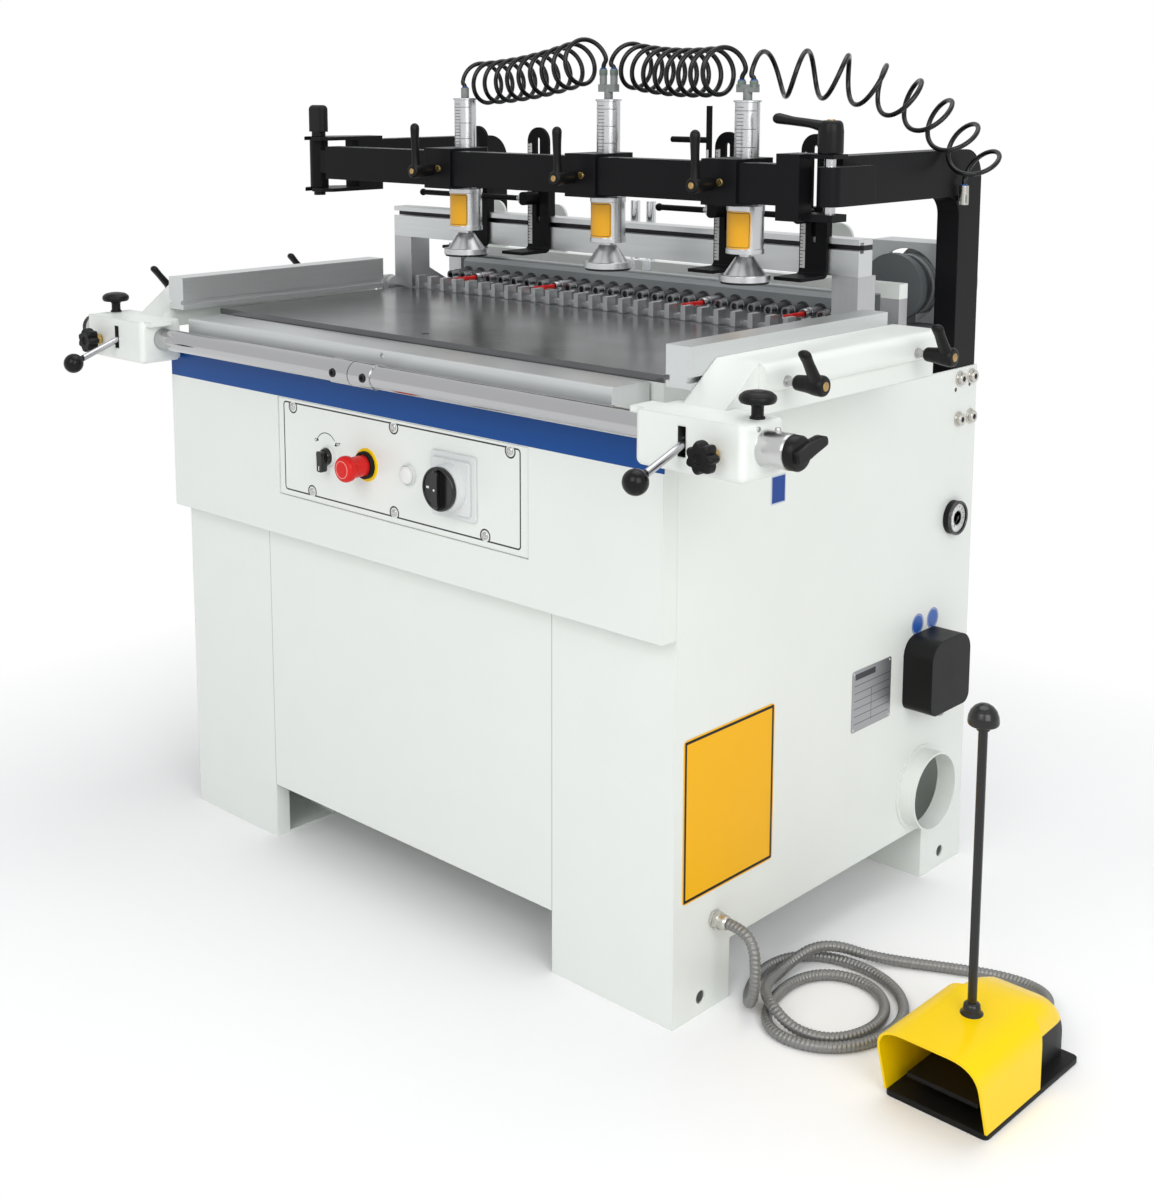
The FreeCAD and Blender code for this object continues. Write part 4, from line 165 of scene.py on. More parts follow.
def soften(outline, radius, steps=4, closed=True):
    """An outline whose corners are rounded: each becomes a parabola between points on its sides.

    The radius is how far back on both sides the curve starts, at most 0.45 of a side.
    """
    outline = np.asarray(outline, float)
    before, after = np.roll(outline, 1, 0), np.roll(outline, -1, 0)
    into, out = before - outline, after - outline
    reach_in = np.minimum(radius, 0.45 * np.linalg.norm(into, axis=1))[:, None]
    reach_out = np.minimum(radius, 0.45 * np.linalg.norm(out, axis=1))[:, None]
    start = outline + unit(into) * reach_in
    end = outline + unit(out) * reach_out
    share = np.linspace(0, 1, steps + 1)[None, :, None]
    curve = (start[:, None] * (1 - share) ** 2 + outline[:, None] * 2 * share * (1 - share)
             + end[:, None] * share ** 2)
    if not closed:
        return np.vstack([outline[:1], curve[1:-1].reshape(-1, outline.shape[1]), outline[-1:]])
    return curve.reshape(-1, outline.shape[1])


def unit(vectors):
    """Each vector divided by its length."""
    vectors = np.asarray(vectors, float)
    return vectors / np.maximum(np.linalg.norm(vectors, axis=-1, keepdims=True), 1e-12)


def basis(axis):
    """Three directions at right angles, the last along the axis."""
    axis = unit(axis)
    other = np.array([0.0, 0.0, 1.0]) if abs(axis[2]) < 0.9 else np.array([1.0, 0.0, 0.0])
    first = unit(np.cross(other, axis))
    return first, np.cross(axis, first), axis


def angles(sides, start=0.0):
    """Angles an equal way apart, once round."""
    return start + np.arange(sides) * 2 * math.pi / sides


def round_axis(radius, height, centre, axis, angle):
    """Points at centre + axis * height + radius * (first * cos + second * sin)."""
    first, second, along = basis(axis)
    around = first * np.cos(angle)[:, None] + second * np.sin(angle)[:, None]
    return (np.asarray(centre, float) + along * height[:, None, None]
            + radius[..., None] * around)


def turned(shell, profile, centre, axis, sides=40, finish=0, start=0.0):
    """A turned surface: pairs of radius and height carried once round the axis."""
    profile = np.asarray(profile, float)
    points = round_axis(profile[:, :1], profile[:, 1], centre, axis, angles(sides, start))
    shell.grid(points, wrap=True, ends=True, finish=finish)


def moulded(shell, profile, bend, steps, centre, axis, sides, finish=0):
    """A turned surface whose profile has its corners softened by the bend."""
    turned(shell, soften(profile, bend, steps, closed=False), centre, axis, sides, finish)


def plate(shell, outline, depth, origin, across, up, finish=0, corner=0.0, edge=0.6, steps=4):
    """A flat plate: an outline in two directions, padded along their cross product.

    A point is origin + across * u + up * v + normal * height, and both rims are chamfered by
    the edge, which moves each point towards the outline's middle.
    """
    outline = np.asarray(outline, float)
    if corner:
        outline = soften(outline, corner, steps)
    across, up = unit(across), unit(up)
    normal = np.cross(across, up)
    middle = outline.mean(0)
    inner = outline - unit(outline - middle) * edge
    rings = [(inner, 0.0), (outline, edge), (outline, depth - edge), (inner, depth)]
    points = np.stack([np.asarray(origin, float) + ring[:, :1] * across + ring[:, 1:] * up
                       + normal * height for ring, height in rings])
    shell.grid(points, wrap=True, ends=True, finish=finish)


def rectangle(width, height, x=0.0, y=0.0):
    """The four corners of a rectangle round a middle."""
    return np.array([(x - width / 2, y - height / 2), (x + width / 2, y - height / 2),
                     (x + width / 2, y + height / 2), (x - width / 2, y + height / 2)])


def rod(shell, start, end, radius, sides, finish):
    """A straight round rod from one point to another, with softly broken rims."""
    start, end = np.asarray(start, float), np.asarray(end, float)
    run = np.linalg.norm(end - start)
    rim = radius * 0.15
    turned(shell, [(radius - rim, 0), (radius, rim), (radius, run - rim), (radius - rim, run)],
           start, end - start, sides, finish)


def globe(shell, centre, radius, flat, axis, sides, finish):
    """A ball flattened along its axis: radius * cos and radius * flat * sin."""
    turn = np.linspace(-math.pi / 2 * 0.985, math.pi / 2 * 0.985, 17)
    profile = np.stack([radius * np.cos(turn), radius * flat * np.sin(turn)], -1)
    turned(shell, profile, centre, axis, sides, finish)


def swept(shell, path, sections, finish=0, side=OBLIQUE):
    """A tube through points: each one's ring of pairs stands square to the path there.

    The ring's first direction is the cross product of a fixed side vector and the path's
    direction, and the second completes the pair.
    """
    ahead = unit(np.gradient(path, axis=0))
    first = unit(np.cross(np.asarray(side, float), ahead))
    second = np.cross(ahead, first)
    points = (path[:, None] + sections[:, :, :1] * first[:, None]
              + sections[:, :, 1:] * second[:, None])
    shell.grid(points, wrap=True, ends=True, finish=finish)


def hoop(shell, profile, centre, axis, sides=56, finish=0):
    """A ring: a closed profile of radius and height carried once round the axis.

    The last row of points is the first again.
    """
    profile = np.asarray(profile, float)
    profile = np.vstack([profile, profile[:1]])
    points = round_axis(profile[:, :1], profile[:, 1], centre, axis, angles(sides))
    shell.grid(points, wrap=True, finish=finish)


def grip(shell, path, wide, thick, side, finish=0, sides=24):
    """A moulded lever: ovals along a smoothed path, each as wide and thick as told there.

    An oval's point is (wide * cos, thick * sin), with both radii read off evenly along the
    path, and the last three ovals shrink along a quarter circle to close the tip.
    """
    path = np.asarray(path, float)
    run = np.linspace(0, 1, 15)
    given = np.linspace(0, 1, len(path))
    line = np.stack([np.interp(run, given, path[:, k]) for k in range(3)], -1)
    line[1:-1] = (line[:-2] + line[1:-1] * 2 + line[2:]) / 4
    ahead = unit(line[-1] - line[-2])
    turn = np.array([0.5, 1.0, 1.4])  # angles of the ovals that close the tip
    line = np.vstack([line, line[-1] + ahead * (np.sin(turn) * thick[-1])[:, None]])
    shrink = np.concatenate([np.ones(len(run)), np.cos(turn)])
    run = np.concatenate([run, [1, 1, 1]])
    across, through = (np.interp(run, np.linspace(0, 1, len(radii)), radii) * shrink
                       for radii in (wide, thick))
    angle = angles(sides)
    rings = np.stack([across[:, None] * np.cos(angle), through[:, None] * np.sin(angle)], -1)
    swept(shell, line, rings, finish, side)


def lumps_of(shell, node, keep):
    """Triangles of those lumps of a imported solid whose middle, in millimetres, keep accepts.

    Equal points are merged first. Each point then takes the lowest number that its edges
    lead to, until nothing changes, and points with one number are one lump.
    """
    mesh = NODES[node].data
    mesh.calc_loop_triangles()
    places = np.empty(len(mesh.vertices) * 3)
    mesh.vertices.foreach_get("co", places)
    triangles = np.empty(len(mesh.loop_triangles) * 3, np.int32)
    mesh.loop_triangles.foreach_get("vertices", triangles)
    places, same = np.unique(np.round(places.reshape(-1, 3) * 1000 - DATUM, 3), axis=0,
                             return_inverse=True)
    triangles = same.ravel()[triangles].reshape(-1, 3)
    number = np.arange(len(places))
    while True:
        lowest = number.copy()
        for one, other in ((0, 1), (1, 2), (2, 0), (1, 0), (2, 1), (0, 2)):
            np.minimum.at(lowest, triangles[:, one], number[triangles[:, other]])
        lowest = lowest[lowest]
        if (lowest == number).all():
            break
        number = lowest
    kept = np.zeros(len(places), bool)
    for lump in np.unique(number):
        member = number == lump
        kept |= member & keep((places[member].min(0) + places[member].max(0)) / 2)
    triangles = triangles[kept[triangles].all(1)]
    shell.add(places, np.hstack([triangles, triangles[:, 2:]]))


# Finishes


class Field:
    """A number that varies over a surface, so that Python's operators add its Math nodes."""

    def __init__(self, tree, socket):
        self.tree = tree
        self.socket = socket

    def calc(self, operation, *others, first=None):
        """One Math node on this field and the others, or on first and the others."""
        step = self.tree.nodes.new("ShaderNodeMath")
        step.operation = operation
        values = ([first] if first is not None else [self]) + list(others)
        for place, value in zip(step.inputs, values):
            if isinstance(value, Field):
                self.tree.links.new(value.socket, place)
            else:
                place.default_value = value
        return Field(self.tree, step.outputs[0])

    def __add__(self, other):
        return self.calc("ADD", other)

    def __sub__(self, other):
        return self.calc("SUBTRACT", other)

    def __rsub__(self, other):
        return self.calc("SUBTRACT", self, first=other)

    def __rtruediv__(self, other):
        return self.calc("DIVIDE", self, first=other)

    def __mul__(self, other):
        return self.calc("MULTIPLY", other)

    def __truediv__(self, other):
        return self.calc("DIVIDE", other)

    def __gt__(self, other):
        return self.calc("GREATER_THAN", other)

    def __lt__(self, other):
        return self.calc("LESS_THAN", other)

    def __abs__(self):
        return self.calc("ABSOLUTE")

    def __mod__(self, other):
        return self.calc("FLOORED_MODULO", other)

    __radd__ = __add__
    __rmul__ = __mul__

    def between(self, low, high):
        """1 where the field lies between the two values, and 0 elsewhere."""
        return (self > low) * (self < high)

    def away(self, middle, other, other_middle):
        """Distance in a plane from a point given by two coordinates."""
        across, up = self - middle, other - other_middle
        return (across * across + up * up).root()

    def root(self):
        return self.calc("SQRT")

    def most(self, other):
        return self.calc("MAXIMUM", other)

    def least(self, other):
        return self.calc("MINIMUM", other)


class Finish:
    """A material built on one Principled shader, with its colour and bump added in steps."""

    def __init__(self, name, colour, roughness, metallic=0.0, gleam=0.5):
        self.material = bpy.data.materials.new(name)
        self.material.use_nodes = True
        self.tree = self.material.node_tree
        self.shader = self.tree.nodes["Principled BSDF"]
        self.colour = tuple(colour)[:3] + (1.0,)
        self.amounts = {"Roughness": roughness, "Metallic": metallic}
        self.set("Base Color", self.colour)
        self.set("Roughness", roughness)
        self.set("Metallic", metallic)
        self.set("Specular IOR Level", gleam)
        self.normal = None
        spot = self.node("ShaderNodeTexCoord")
        place = self.node("ShaderNodeMapping", Vector=spot.outputs["Object"])
        place.inputs["Scale"].default_value = (1000, 1000, 1000)
        place.inputs["Location"].default_value = tuple(-DATUM)
        self.place = place.outputs[0]
        parts = self.node("ShaderNodeSeparateXYZ", Vector=self.place)
        self.x, self.y, self.z = (Field(self.tree, socket) for socket in parts.outputs)

    def node(self, kind, settings=None, **values):
        """A node of this type, with its settings first and then its sockets."""
        made = self.tree.nodes.new(kind)
        for name, value in (settings or {}).items():
            setattr(made, name, value)
        for name, value in values.items():
            self.link(made.inputs[name.replace("_", " ")], value)
        return made

    def link(self, socket, value):
        """Link a field or a socket to a socket, or set a constant on it."""
        value = value.socket if isinstance(value, Field) else value
        if isinstance(value, bpy.types.NodeSocket):
            self.tree.links.new(value, socket)
        else:
            socket.default_value = value

    def set(self, name, value):
        self.link(self.shader.inputs[name], value)

    def noise(self, scale, detail=3.0, stretch=(1, 1, 1)):
        """Cloudy noise from 0 to 1, whose scale is in waves per metre."""
        place = self.node("ShaderNodeMapping", Vector=self.place)
        place.inputs["Scale"].default_value = tuple(s / 1000 for s in stretch)
        made = self.node("ShaderNodeTexNoise", Vector=place.outputs[0])
        made.inputs["Scale"].default_value = scale
        made.inputs["Detail"].default_value = detail
        return Field(self.tree, made.outputs["Fac"])

    def paint(self, mask, colour, roughness=None, metallic=None):
        """Lay another colour over the surface where the mask is 1."""
        mix = self.node("ShaderNodeMix", {"data_type": "RGBA"})
        self.link(mix.inputs[0], mask)
        self.link(mix.inputs[6], self.colour)
        self.link(mix.inputs[7], tuple(colour)[:3] + (1.0,))
        self.colour = mix.outputs[2]
        self.set("Base Color", self.colour)
        for name, wanted in (("Roughness", roughness), ("Metallic", metallic)):
            if wanted is not None:
                self.amounts[name] = self.amounts[name] * (1 - mask) + mask * wanted
                self.set(name, self.amounts[name])
        return self

    def vary(self, field, amount, shade=0.0):
        """Let the field change the roughness, and darken the colour a little."""
        self.amounts["Roughness"] = field * amount + self.amounts["Roughness"]
        self.set("Roughness", self.amounts["Roughness"])
        if shade:
            dark = self.node("ShaderNodeMix", {"data_type": "RGBA", "blend_type": "MULTIPLY"})
            self.link(dark.inputs[0], field * shade)
            self.link(dark.inputs[6], self.colour)
            self.link(dark.inputs[7], (0.35, 0.33, 0.30, 1.0))
            self.colour = dark.outputs[2]
            self.set("Base Color", self.colour)
        return self

    def bump(self, height, millimetres):
        """Raise the surface by the field, over this many millimetres."""
        made = self.node("ShaderNodeBump", Height=height)
        made.inputs["Strength"].default_value = 1.0
        made.inputs["Distance"].default_value = millimetres / 1000
        if self.normal is not None:
            self.link(made.inputs["Normal"], self.normal)
        self.normal = made.outputs[0]
        self.set("Normal", self.normal)
        return self

    def soft_edges(self, millimetres):
        """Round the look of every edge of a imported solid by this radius."""
        made = self.node("ShaderNodeBevel", {"samples": 6})
        made.inputs["Radius"].default_value = millimetres / 1000
        self.normal = made.outputs[0]
        self.set("Normal", self.normal)
        return self


def coat(name, colour, roughness, edge=1.2, grain=0.035, gleam=0.5):
    """Powder coat or enamel: a faint orange peel and a little cloudiness in the gloss."""
    made = Finish(name, colour, roughness, gleam=gleam)
    made.soft_edges(edge)
    made.vary(made.noise(14), 0.06, 0.05)
    return made.bump(made.noise(420, 2), grain)


def metal(name, colour, roughness, stretch=(1, 1, 1), edge=0.8, streak=0.12, scale=240):
    """Bare metal, with fine streaks of gloss across the stretched directions."""
    made = Finish(name, colour, roughness, metallic=1.0)
    made.soft_edges(edge)
    lines = made.noise(scale, 3, stretch)
    made.vary(lines, streak, 0.10)
    return made.bump(lines, 0.012)


def plastic(name, colour, roughness, edge=0.9, grain=0.03, gleam=0.18):
    """Moulded plastic with a fine pebbled grain."""
    made = Finish(name, colour, roughness, gleam=gleam)
    made.soft_edges(edge)
    made.vary(made.noise(30), 0.10, 0.03)
    return made.bump(made.noise(1500, 2), grain)


# Sizes and colours


def length(name, description, default):
    """A length property, given in millimetres and kept in metres as Blender does."""
    return FloatProperty(name=name, description=description, default=default / 1000,
                         min=0.0, unit="LENGTH", precision=5)


def mm(metre):
    """A length property's metres as millimetres."""
    return metre * 1000


def shade(name, description, default):
    """A colour property, in linear light."""
    return FloatVectorProperty(name=name, description=description, default=default, size=3,
                               subtype="COLOR", min=0.0, max=1.0)


class BoringMachineSizes(bpy.types.PropertyGroup):
    """Sizes of the fine pieces, given in millimetres."""
    conduit_radius: length("Conduit radius", "Outer radius of the ribbed conduit", 7.5)
    conduit_pitch: length("Conduit pitch", "Distance from rib to rib", 5.8)
    conduit_rib: length("Conduit rib", "Depth between the ribs", 1.1)
    hose_radius: length("Hose radius", "Outer radius of the air hoses", 3.5)
    coil_radius: length("Coil radius", "Radius of the turns of the air hoses", 32.0)
    bit_radius: length("Bit radius", "Radius of the boring bits", 4.0)
    bit_pitch: length("Bit pitch", "Length of one turn of a bit's flute", 21.0)
    plate_thick: length("Plate thickness", "Thickness of the labels on the side", 0.8)
    coil_steps: IntProperty(name="Coil steps", description="Hand points in each coil turn",
                            default=14, min=12, max=32)


class BoringMachineColours(bpy.types.PropertyGroup):
    """Colours of the painted and moulded pieces."""
    white: shade("White", "Powder coat of the cabinet and castings", (0.79, 0.82, 0.785))
    blue: shade("Blue", "Band along the apron", (0.001, 0.062, 0.27))
    black: shade("Black", "Satin enamel of arms and brackets", (0.007, 0.007, 0.008))
    yellow: shade("Yellow", "Enamel of the pedal's hood", (0.97, 0.66, 0.0))
    red: shade("Red", "Emergency button and bits", (0.66, 0.016, 0.014))
    grey: shade("Grey", "Enamel of the spindle head", (0.30, 0.32, 0.33))
    plastic: shade("Plastic", "Knobs and levers", (0.007, 0.007, 0.007))
    aluminium: shade("Aluminium", "Fences, rails and plates", (0.70, 0.72, 0.72))
    steel: shade("Steel", "Ground steel of the table", (0.25, 0.25, 0.26))
    chrome: shade("Chrome", "Front bar and tubes", (0.50, 0.50, 0.51))
    label: shade("Label", "Wrapped labels of the pressors", (0.92, 0.44, 0.002))
    conduit: shade("Conduit", "Ribbed conduit", (0.24, 0.24, 0.235))


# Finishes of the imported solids

INK = (0.05, 0.05, 0.055)
RATING_INK = (0.09, 0.09, 0.10)
SIGN_BLUE = (0.012, 0.10, 0.42)
SIGN_EDGE = (0.55, 0.60, 0.66)
BRASS = (0.50, 0.33, 0.13)
NICKEL = (0.62, 0.60, 0.56)
MATT_BLACK_GLEAM = 0.10
BAR_JOINT_SCREWS = (-39, 26)
ARM_HOLES = ((673.5, 767.5, 2.6), (654, 758, 3.4), (694, 762, 3.4))
PLATE_SCREWS = ((-206, 731), (24, 731.5), (257.5, 732.5), (-163.5, 606.5), (23, 606.5),
                (209, 607.5))
SIGN_PLACES = (568, 610)


def white_case(colours):
    """White powder coat, with painted shadow lines where the front panel steps back between the
    legs, and painted shade in the small holes by the arm's bolts.
    """
    made = coat("white_case", colours.white, 0.30, 1.6)
    # Thin grey lines painted as the shadow where the front panel steps back from the legs
    leg_shadow_line = (abs(abs(made.x) - 308) < 0.7) * made.z.between(90, 526) * (made.y < 0.5)
    made.paint(leg_shadow_line, (0.42, 0.44, 0.42))
    # Near-black discs painted as the shade inside the small holes by the arm's bolts
    for y, z, radius in ARM_HOLES:
        made.paint((made.y.away(y, made.z, z) < radius) * (made.x > 522), (0.02, 0.02, 0.02))
    return made


def apron_white(colours):
    """White powder coat with the blue band along the top of the apron."""
    made = coat("apron_white", colours.white, 0.30, 1.6, gleam=0.22)
    stripe = made.z.between(744, 799.5) * (made.y < -26)
    return made.paint(stripe, colours.blue, 0.25)


def plate_print(colours):
    """White plate, with a border line that steps round its screws and an arc over a switch.

    The line is where the larger of two distances is zero: the way out of a rounded rectangle,
    and the clearance less the way to the nearest screw.
    """
    clearance, half_line = 9, 1.15
    made = coat("plate_print", colours.white, 0.26, 0.8)
    across = (abs(made.x - 24) - 247).most(0.0)
    up = (abs(made.z - 669) - 63).most(0.0)
    edge = (across * across + up * up).root() - 5
    for x, z in PLATE_SCREWS:
        edge = edge.most(clearance - made.x.away(x, made.z, z))
    front = made.y < PLATE_Y + 0.3
    made.paint((abs(edge) < half_line) * front, colours.black, 0.4)
    arc = made.x.away(-128, made.z, 677).between(23.8, 25.2) * (made.z > 692)
    for x, radius in ((-152.5, 2.2), (-148.5, 0.9), (-104.5, 2.0), (-100.5, 2.0), (-97.0, 0.9)):
        arc = arc.most(abs(made.x.away(x, made.z, 688 + (radius < 1) * 2) - radius) < 0.5)
    made.paint(arc * front, colours.black, 0.4)
    return made


def ground_table(colours):
    """Ground steel, nearly a mirror, with straight grinding marks and large cloudy darkening
    painted as mottled reflection.
    """
    made = Finish("ground_table", colours.steel, 0.10, metallic=1.0)
    made.soft_edges(0.8)
    streaks = made.noise(500, 4, (0.012, 1, 1))
    made.vary(streaks, 0.12, 0.30)
    # Large cloudy darkening of the colour: painted mottled reflection
    made.vary(made.noise(9, 5), 0.12, 0.55)
    return made.bump(streaks, 0.008)


def drawn_aluminium(name, colours, stretch, dark=None):
    """Drawn aluminium, streaked along its length, with a dark groove where told."""
    made = metal(name, colours.aluminium, 0.30, stretch, 0.6, 0.16, 420)
    if dark is not None:
        made.paint(dark(made), INK, 0.5)
    return made


def head_enamel(colours):
    """Grey enamel of the gear housing, dark on its front face round the seal rings."""
    made = coat("head_enamel", colours.grey, 0.38, 1.4)
    return made.paint(made.y < 544.5, INK, 0.45)


def motor_enamel(colours):
    """Dark finned motor behind a pale folded guard, with a pale cowl."""
    made = coat("motor_enamel", (0.10, 0.11, 0.115), 0.42, 1.2, 0.06)
    made.paint(made.y.between(678, 741) * (made.z > 847.5), (0.52, 0.54, 0.54), 0.34)
    return made.paint(made.y > 745, (0.58, 0.60, 0.60), 0.36)


def nose_steel():
    """Blued steel of the spindle noses, brighter on the ground fronts."""
    made = metal("nose_steel", (0.16, 0.16, 0.17), 0.30, edge=0.7, streak=0.15)
    return made.paint(made.y < 512.5, (0.30, 0.30, 0.31), 0.26)


def casting_finish(side, colours):
    """White casting with a silver sleeve round the bar, and the slot behind its ball lever
    painted near-black as its shade.
    """
    made = coat("casting_" + side, colours.white, 0.30, 4.0)
    start, way = CASTINGS[side]
    out = (made.x - start) * way
    sleeve = (out > 172.6) * (made.y.away(BAR_Y, made.z, BAR_Z) < 24)
    made.paint(sleeve, (0.62, 0.62, 0.62), 0.24, 1.0)
    # The slot behind the ball lever is painted near-black as the shade inside it
    slot = (abs(out - 84) < 6.3) * (abs(made.z - BAR_Z) < 18.3) * made.y.between(-105.4, -84)
    return made.paint(slot, (0.03, 0.03, 0.03), 0.5)


def pressor_steel(number, x, colours):
    """Silver tube with graduation marks, a wrapped label, and darker fittings on top."""
    made = metal("pressor_steel_%d" % number, (0.64, 0.65, 0.66), 0.24,
                 (1, 1, 0.03), 0.8, 0.05, 120)
    front = made.y < PRESSOR_Y - 3
    marks = ((made.z % 5.0) < 0.8) * made.z.between(1110, 1184)
    long_marks = ((made.z % 25.0) < 1.0).most((abs(made.x - x) < 6.0) * marks)
    made.paint(marks * long_marks * front * (made.x > x - 12), INK, 0.4)
    # The label is a rounded rectangle, with its width measured round a 27 mm cylinder
    turn = (made.x - x).calc("ARCTAN2", (made.y - PRESSOR_Y) * -1) * 27
    across = (abs(turn) - 20).most(0.0)
    up = (abs(made.z - 1011.5) - 21).most(0.0)
    rim = (across * across + up * up).root()
    wrapped = (rim < 5.0) * made.z.between(980, 1044)
    made.paint(wrapped, colours.label, 0.34, 0.0)
    made.paint(wrapped * rim.between(2.4, 3.2), (0.05, 0.04, 0.01), 0.36)
    return made.paint(made.z > 1189.4, (0.22, 0.235, 0.23), 0.42, 0.0)


def foot_metal(number, colours):
    """Bright foot of a pressor, with its dark pad underneath."""
    made = metal("foot_metal_%d" % number, (0.66, 0.67, 0.68), 0.26, (1, 1, 0.2), 0.9, 0.05, 60)
    return made.paint(made.z < 939.3, colours.plastic, 0.6, 0.0)


def edge_stop_black(number, x, colours):
    """Black stop with a white graduated strip along its left edge."""
    made = coat("edge_stop_black_%d" % number, colours.black, 0.38, 0.9,
                gleam=MATT_BLACK_GLEAM)
    strip = (made.y < 427.2) * made.x.between(x - 22.0, x - 13.5) * made.z.between(950, 1116)
    made.paint(strip, (0.72, 0.72, 0.70), 0.4)
    ticks = ((made.z % 5.0) < 0.9) * (made.x < x - 17.5).most((made.z % 25.0) < 1.1)
    return made.paint(strip * ticks, colours.black, 0.4)


def bracket_black(number, colours):
    """Black bracket with a brass stud at its front."""
    made = coat("bracket_black_%d" % number, colours.black, 0.34, gleam=MATT_BLACK_GLEAM)
    return made.paint(made.y < 259.6, (0.60, 0.42, 0.14), 0.25, 1.0)


def support_black(colours):
    """Black arms, with bright bolts outside and a bright fitting and hinge rod."""
    made = coat("support_black", colours.black, 0.34, 2.0, gleam=MATT_BLACK_GLEAM)
    made.paint(abs(made.x) > SIDE_X + 0.1, (0.55, 0.54, 0.50), 0.24, 1.0)
    arms = abs(made.x).between(SIDE_X, 560) * (made.z > 1020) * (made.y < 430)
    made.paint(arms, colours.black, 0.36, 0.0)
    hinge = (made.x.away(HINGE_X, made.y, HINGE_Y) < 8.3) * made.z.between(1032, 1121)
    return made.paint(hinge, (0.6, 0.6, 0.62), 0.2, 1.0)


def treadle_ribs(colours):
    """Black plastic with ribs across the treadle's top."""
    made = plastic("treadle_ribs", colours.plastic, 0.42, 1.0)
    ridge = ((made.y % 7.0) < 3.0) * (made.z > 34)
    return made.bump(ridge, 0.9)


def pedal_yellow(colours):
    """Yellow enamel, black along the foot of the rear cover."""
    made = coat("pedal_yellow", colours.yellow, 0.26, 0.6, 0.012, gleam=0.2)
    return made.paint((made.y > 212) * (made.z < 58), colours.plastic, 0.46)


def frame_light(colours):
    """Light metal of the tilt frame, with white hood plates and bright rods above them."""
    made = metal("frame_light", (0.55, 0.56, 0.57), 0.34, (1, 1, 0.05), 1.0)
    hood = (made.z > 900) * (made.y > 500)
    made.paint(hood, colours.white, 0.30, 0.0)
    rods = hood * abs(abs(made.x + 20) - 17).between(-1, 9)
    return made.paint(rods, (0.8, 0.81, 0.82), 0.10, 1.0)


def bar_chrome(colours):
    """Hard chrome, with the two black socket screws of its joint, their sockets painted darker
    as shade.
    """
    made = Finish("bar_chrome", colours.chrome, 0.07, metallic=1.0)
    made.soft_edges(1.0)
    made.vary(made.noise(25, 3, (0.05, 1, 1)), 0.06, 0.04)
    for x in BAR_JOINT_SCREWS:
        away = made.x.away(x, made.z, BAR_Z)
        made.paint((away < 6.6) * (made.y < -80), (0.03, 0.03, 0.032), 0.35)
        # A darker middle disc painted as the shade inside the screw's hex socket
        made.paint((away < 3.0) * (made.y < -80), (0.004, 0.004, 0.004), 0.6)
    made.paint(made.x.between(-7.5, -6.0), (0.04, 0.04, 0.04), 0.4)
    return made.bump(made.noise(60), 0.01)


def carried_finishes(colours):
    """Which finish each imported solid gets, by its node's name."""
    white = white_case(colours)
    rail = drawn_aluminium("rail_aluminium", colours, (0.02, 1, 1),
                           lambda m: m.z.between(814, 821.5) * (m.y < -37.5))
    stop = drawn_aluminium("stop_aluminium", colours, (0.02, 1, 1),
                           lambda m: m.z.between(980.2, 987.6) * (m.y > 433))
    fence = drawn_aluminium("fence_aluminium", colours, (1, 0.02, 1))
    table = {
        "cabinet": white, "table_frame": white,
        "front_apron": apron_white(colours),
        "table_top": ground_table(colours), "front_rail": rail,
        "front_bar": bar_chrome(colours),
        "dust_port": coat("port_white", colours.white, 0.34, 0.8),
        "terminal_cover": plastic("cover_black", colours.plastic, 0.36, 2.0),
        "pressure_gauge": plastic("gauge_case", colours.plastic, 0.35),
        "conduit_gland": metal("bright_nickel", NICKEL, 0.24),
        "pedal_treadle": treadle_ribs(colours), "support_arms": support_black(colours),
        "pressor_beam": coat("beam_black", colours.black, 0.32, gleam=MATT_BLACK_GLEAM),
        "beam_pin": plastic("lever_plastic", colours.plastic, 0.40, 1.4),
        "tilt_frame": frame_light(colours),
        "comb": metal("comb_steel", (0.55, 0.56, 0.57), 0.32, edge=0.6),
        "stop_rail": stop, "spindle_head": head_enamel(colours),
        "head_motor": motor_enamel(colours), "spindle_row": nose_steel(),
    }
    for side in ("left", "right"):
        table["side_fence_" + side] = fence
        ball = plastic("ball_plastic_" + side, colours.plastic, 0.16, 0.6, 0.004)
        start, way = CASTINGS[side]
        shank = (ball.y > -169) * (abs(ball.x - (start + 84 * way)) < 6)
        ball.paint(shank, (0.5, 0.5, 0.52), 0.24, 1.0)
        table["ball_lever_" + side] = ball
        star = plastic("star_plastic_" + side, colours.plastic, 0.38, 1.5)
        star.paint(star.y > -115.8, (0.62, 0.44, 0.16), 0.22, 1.0)
        table["star_knob_" + side] = star
    for number, x in PRESSORS:
        table["pressor_bracket_%d" % number] = bracket_black(number, colours)
        table["pressor_column_%d" % number] = pressor_steel(number, x, colours)
        table["pressor_foot_%d" % number] = foot_metal(number, colours)
    for number, x in EDGE_STOPS:
        table["edge_stop_%d" % number] = edge_stop_black(number, x, colours)
    return table


class MakeFinishes(bpy.types.Operator):
    """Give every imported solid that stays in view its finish"""
    bl_idname = "boring_machine.finishes"
    bl_label = "Finishes of the solids"

    def execute(self, context):
        for name, made in carried_finishes(context.scene.machine_colours).items():
            solid = NODES[name]
            solid.data.materials.clear()
            solid.data.materials.append(made.material)
        return {"FINISHED"}


# Cords

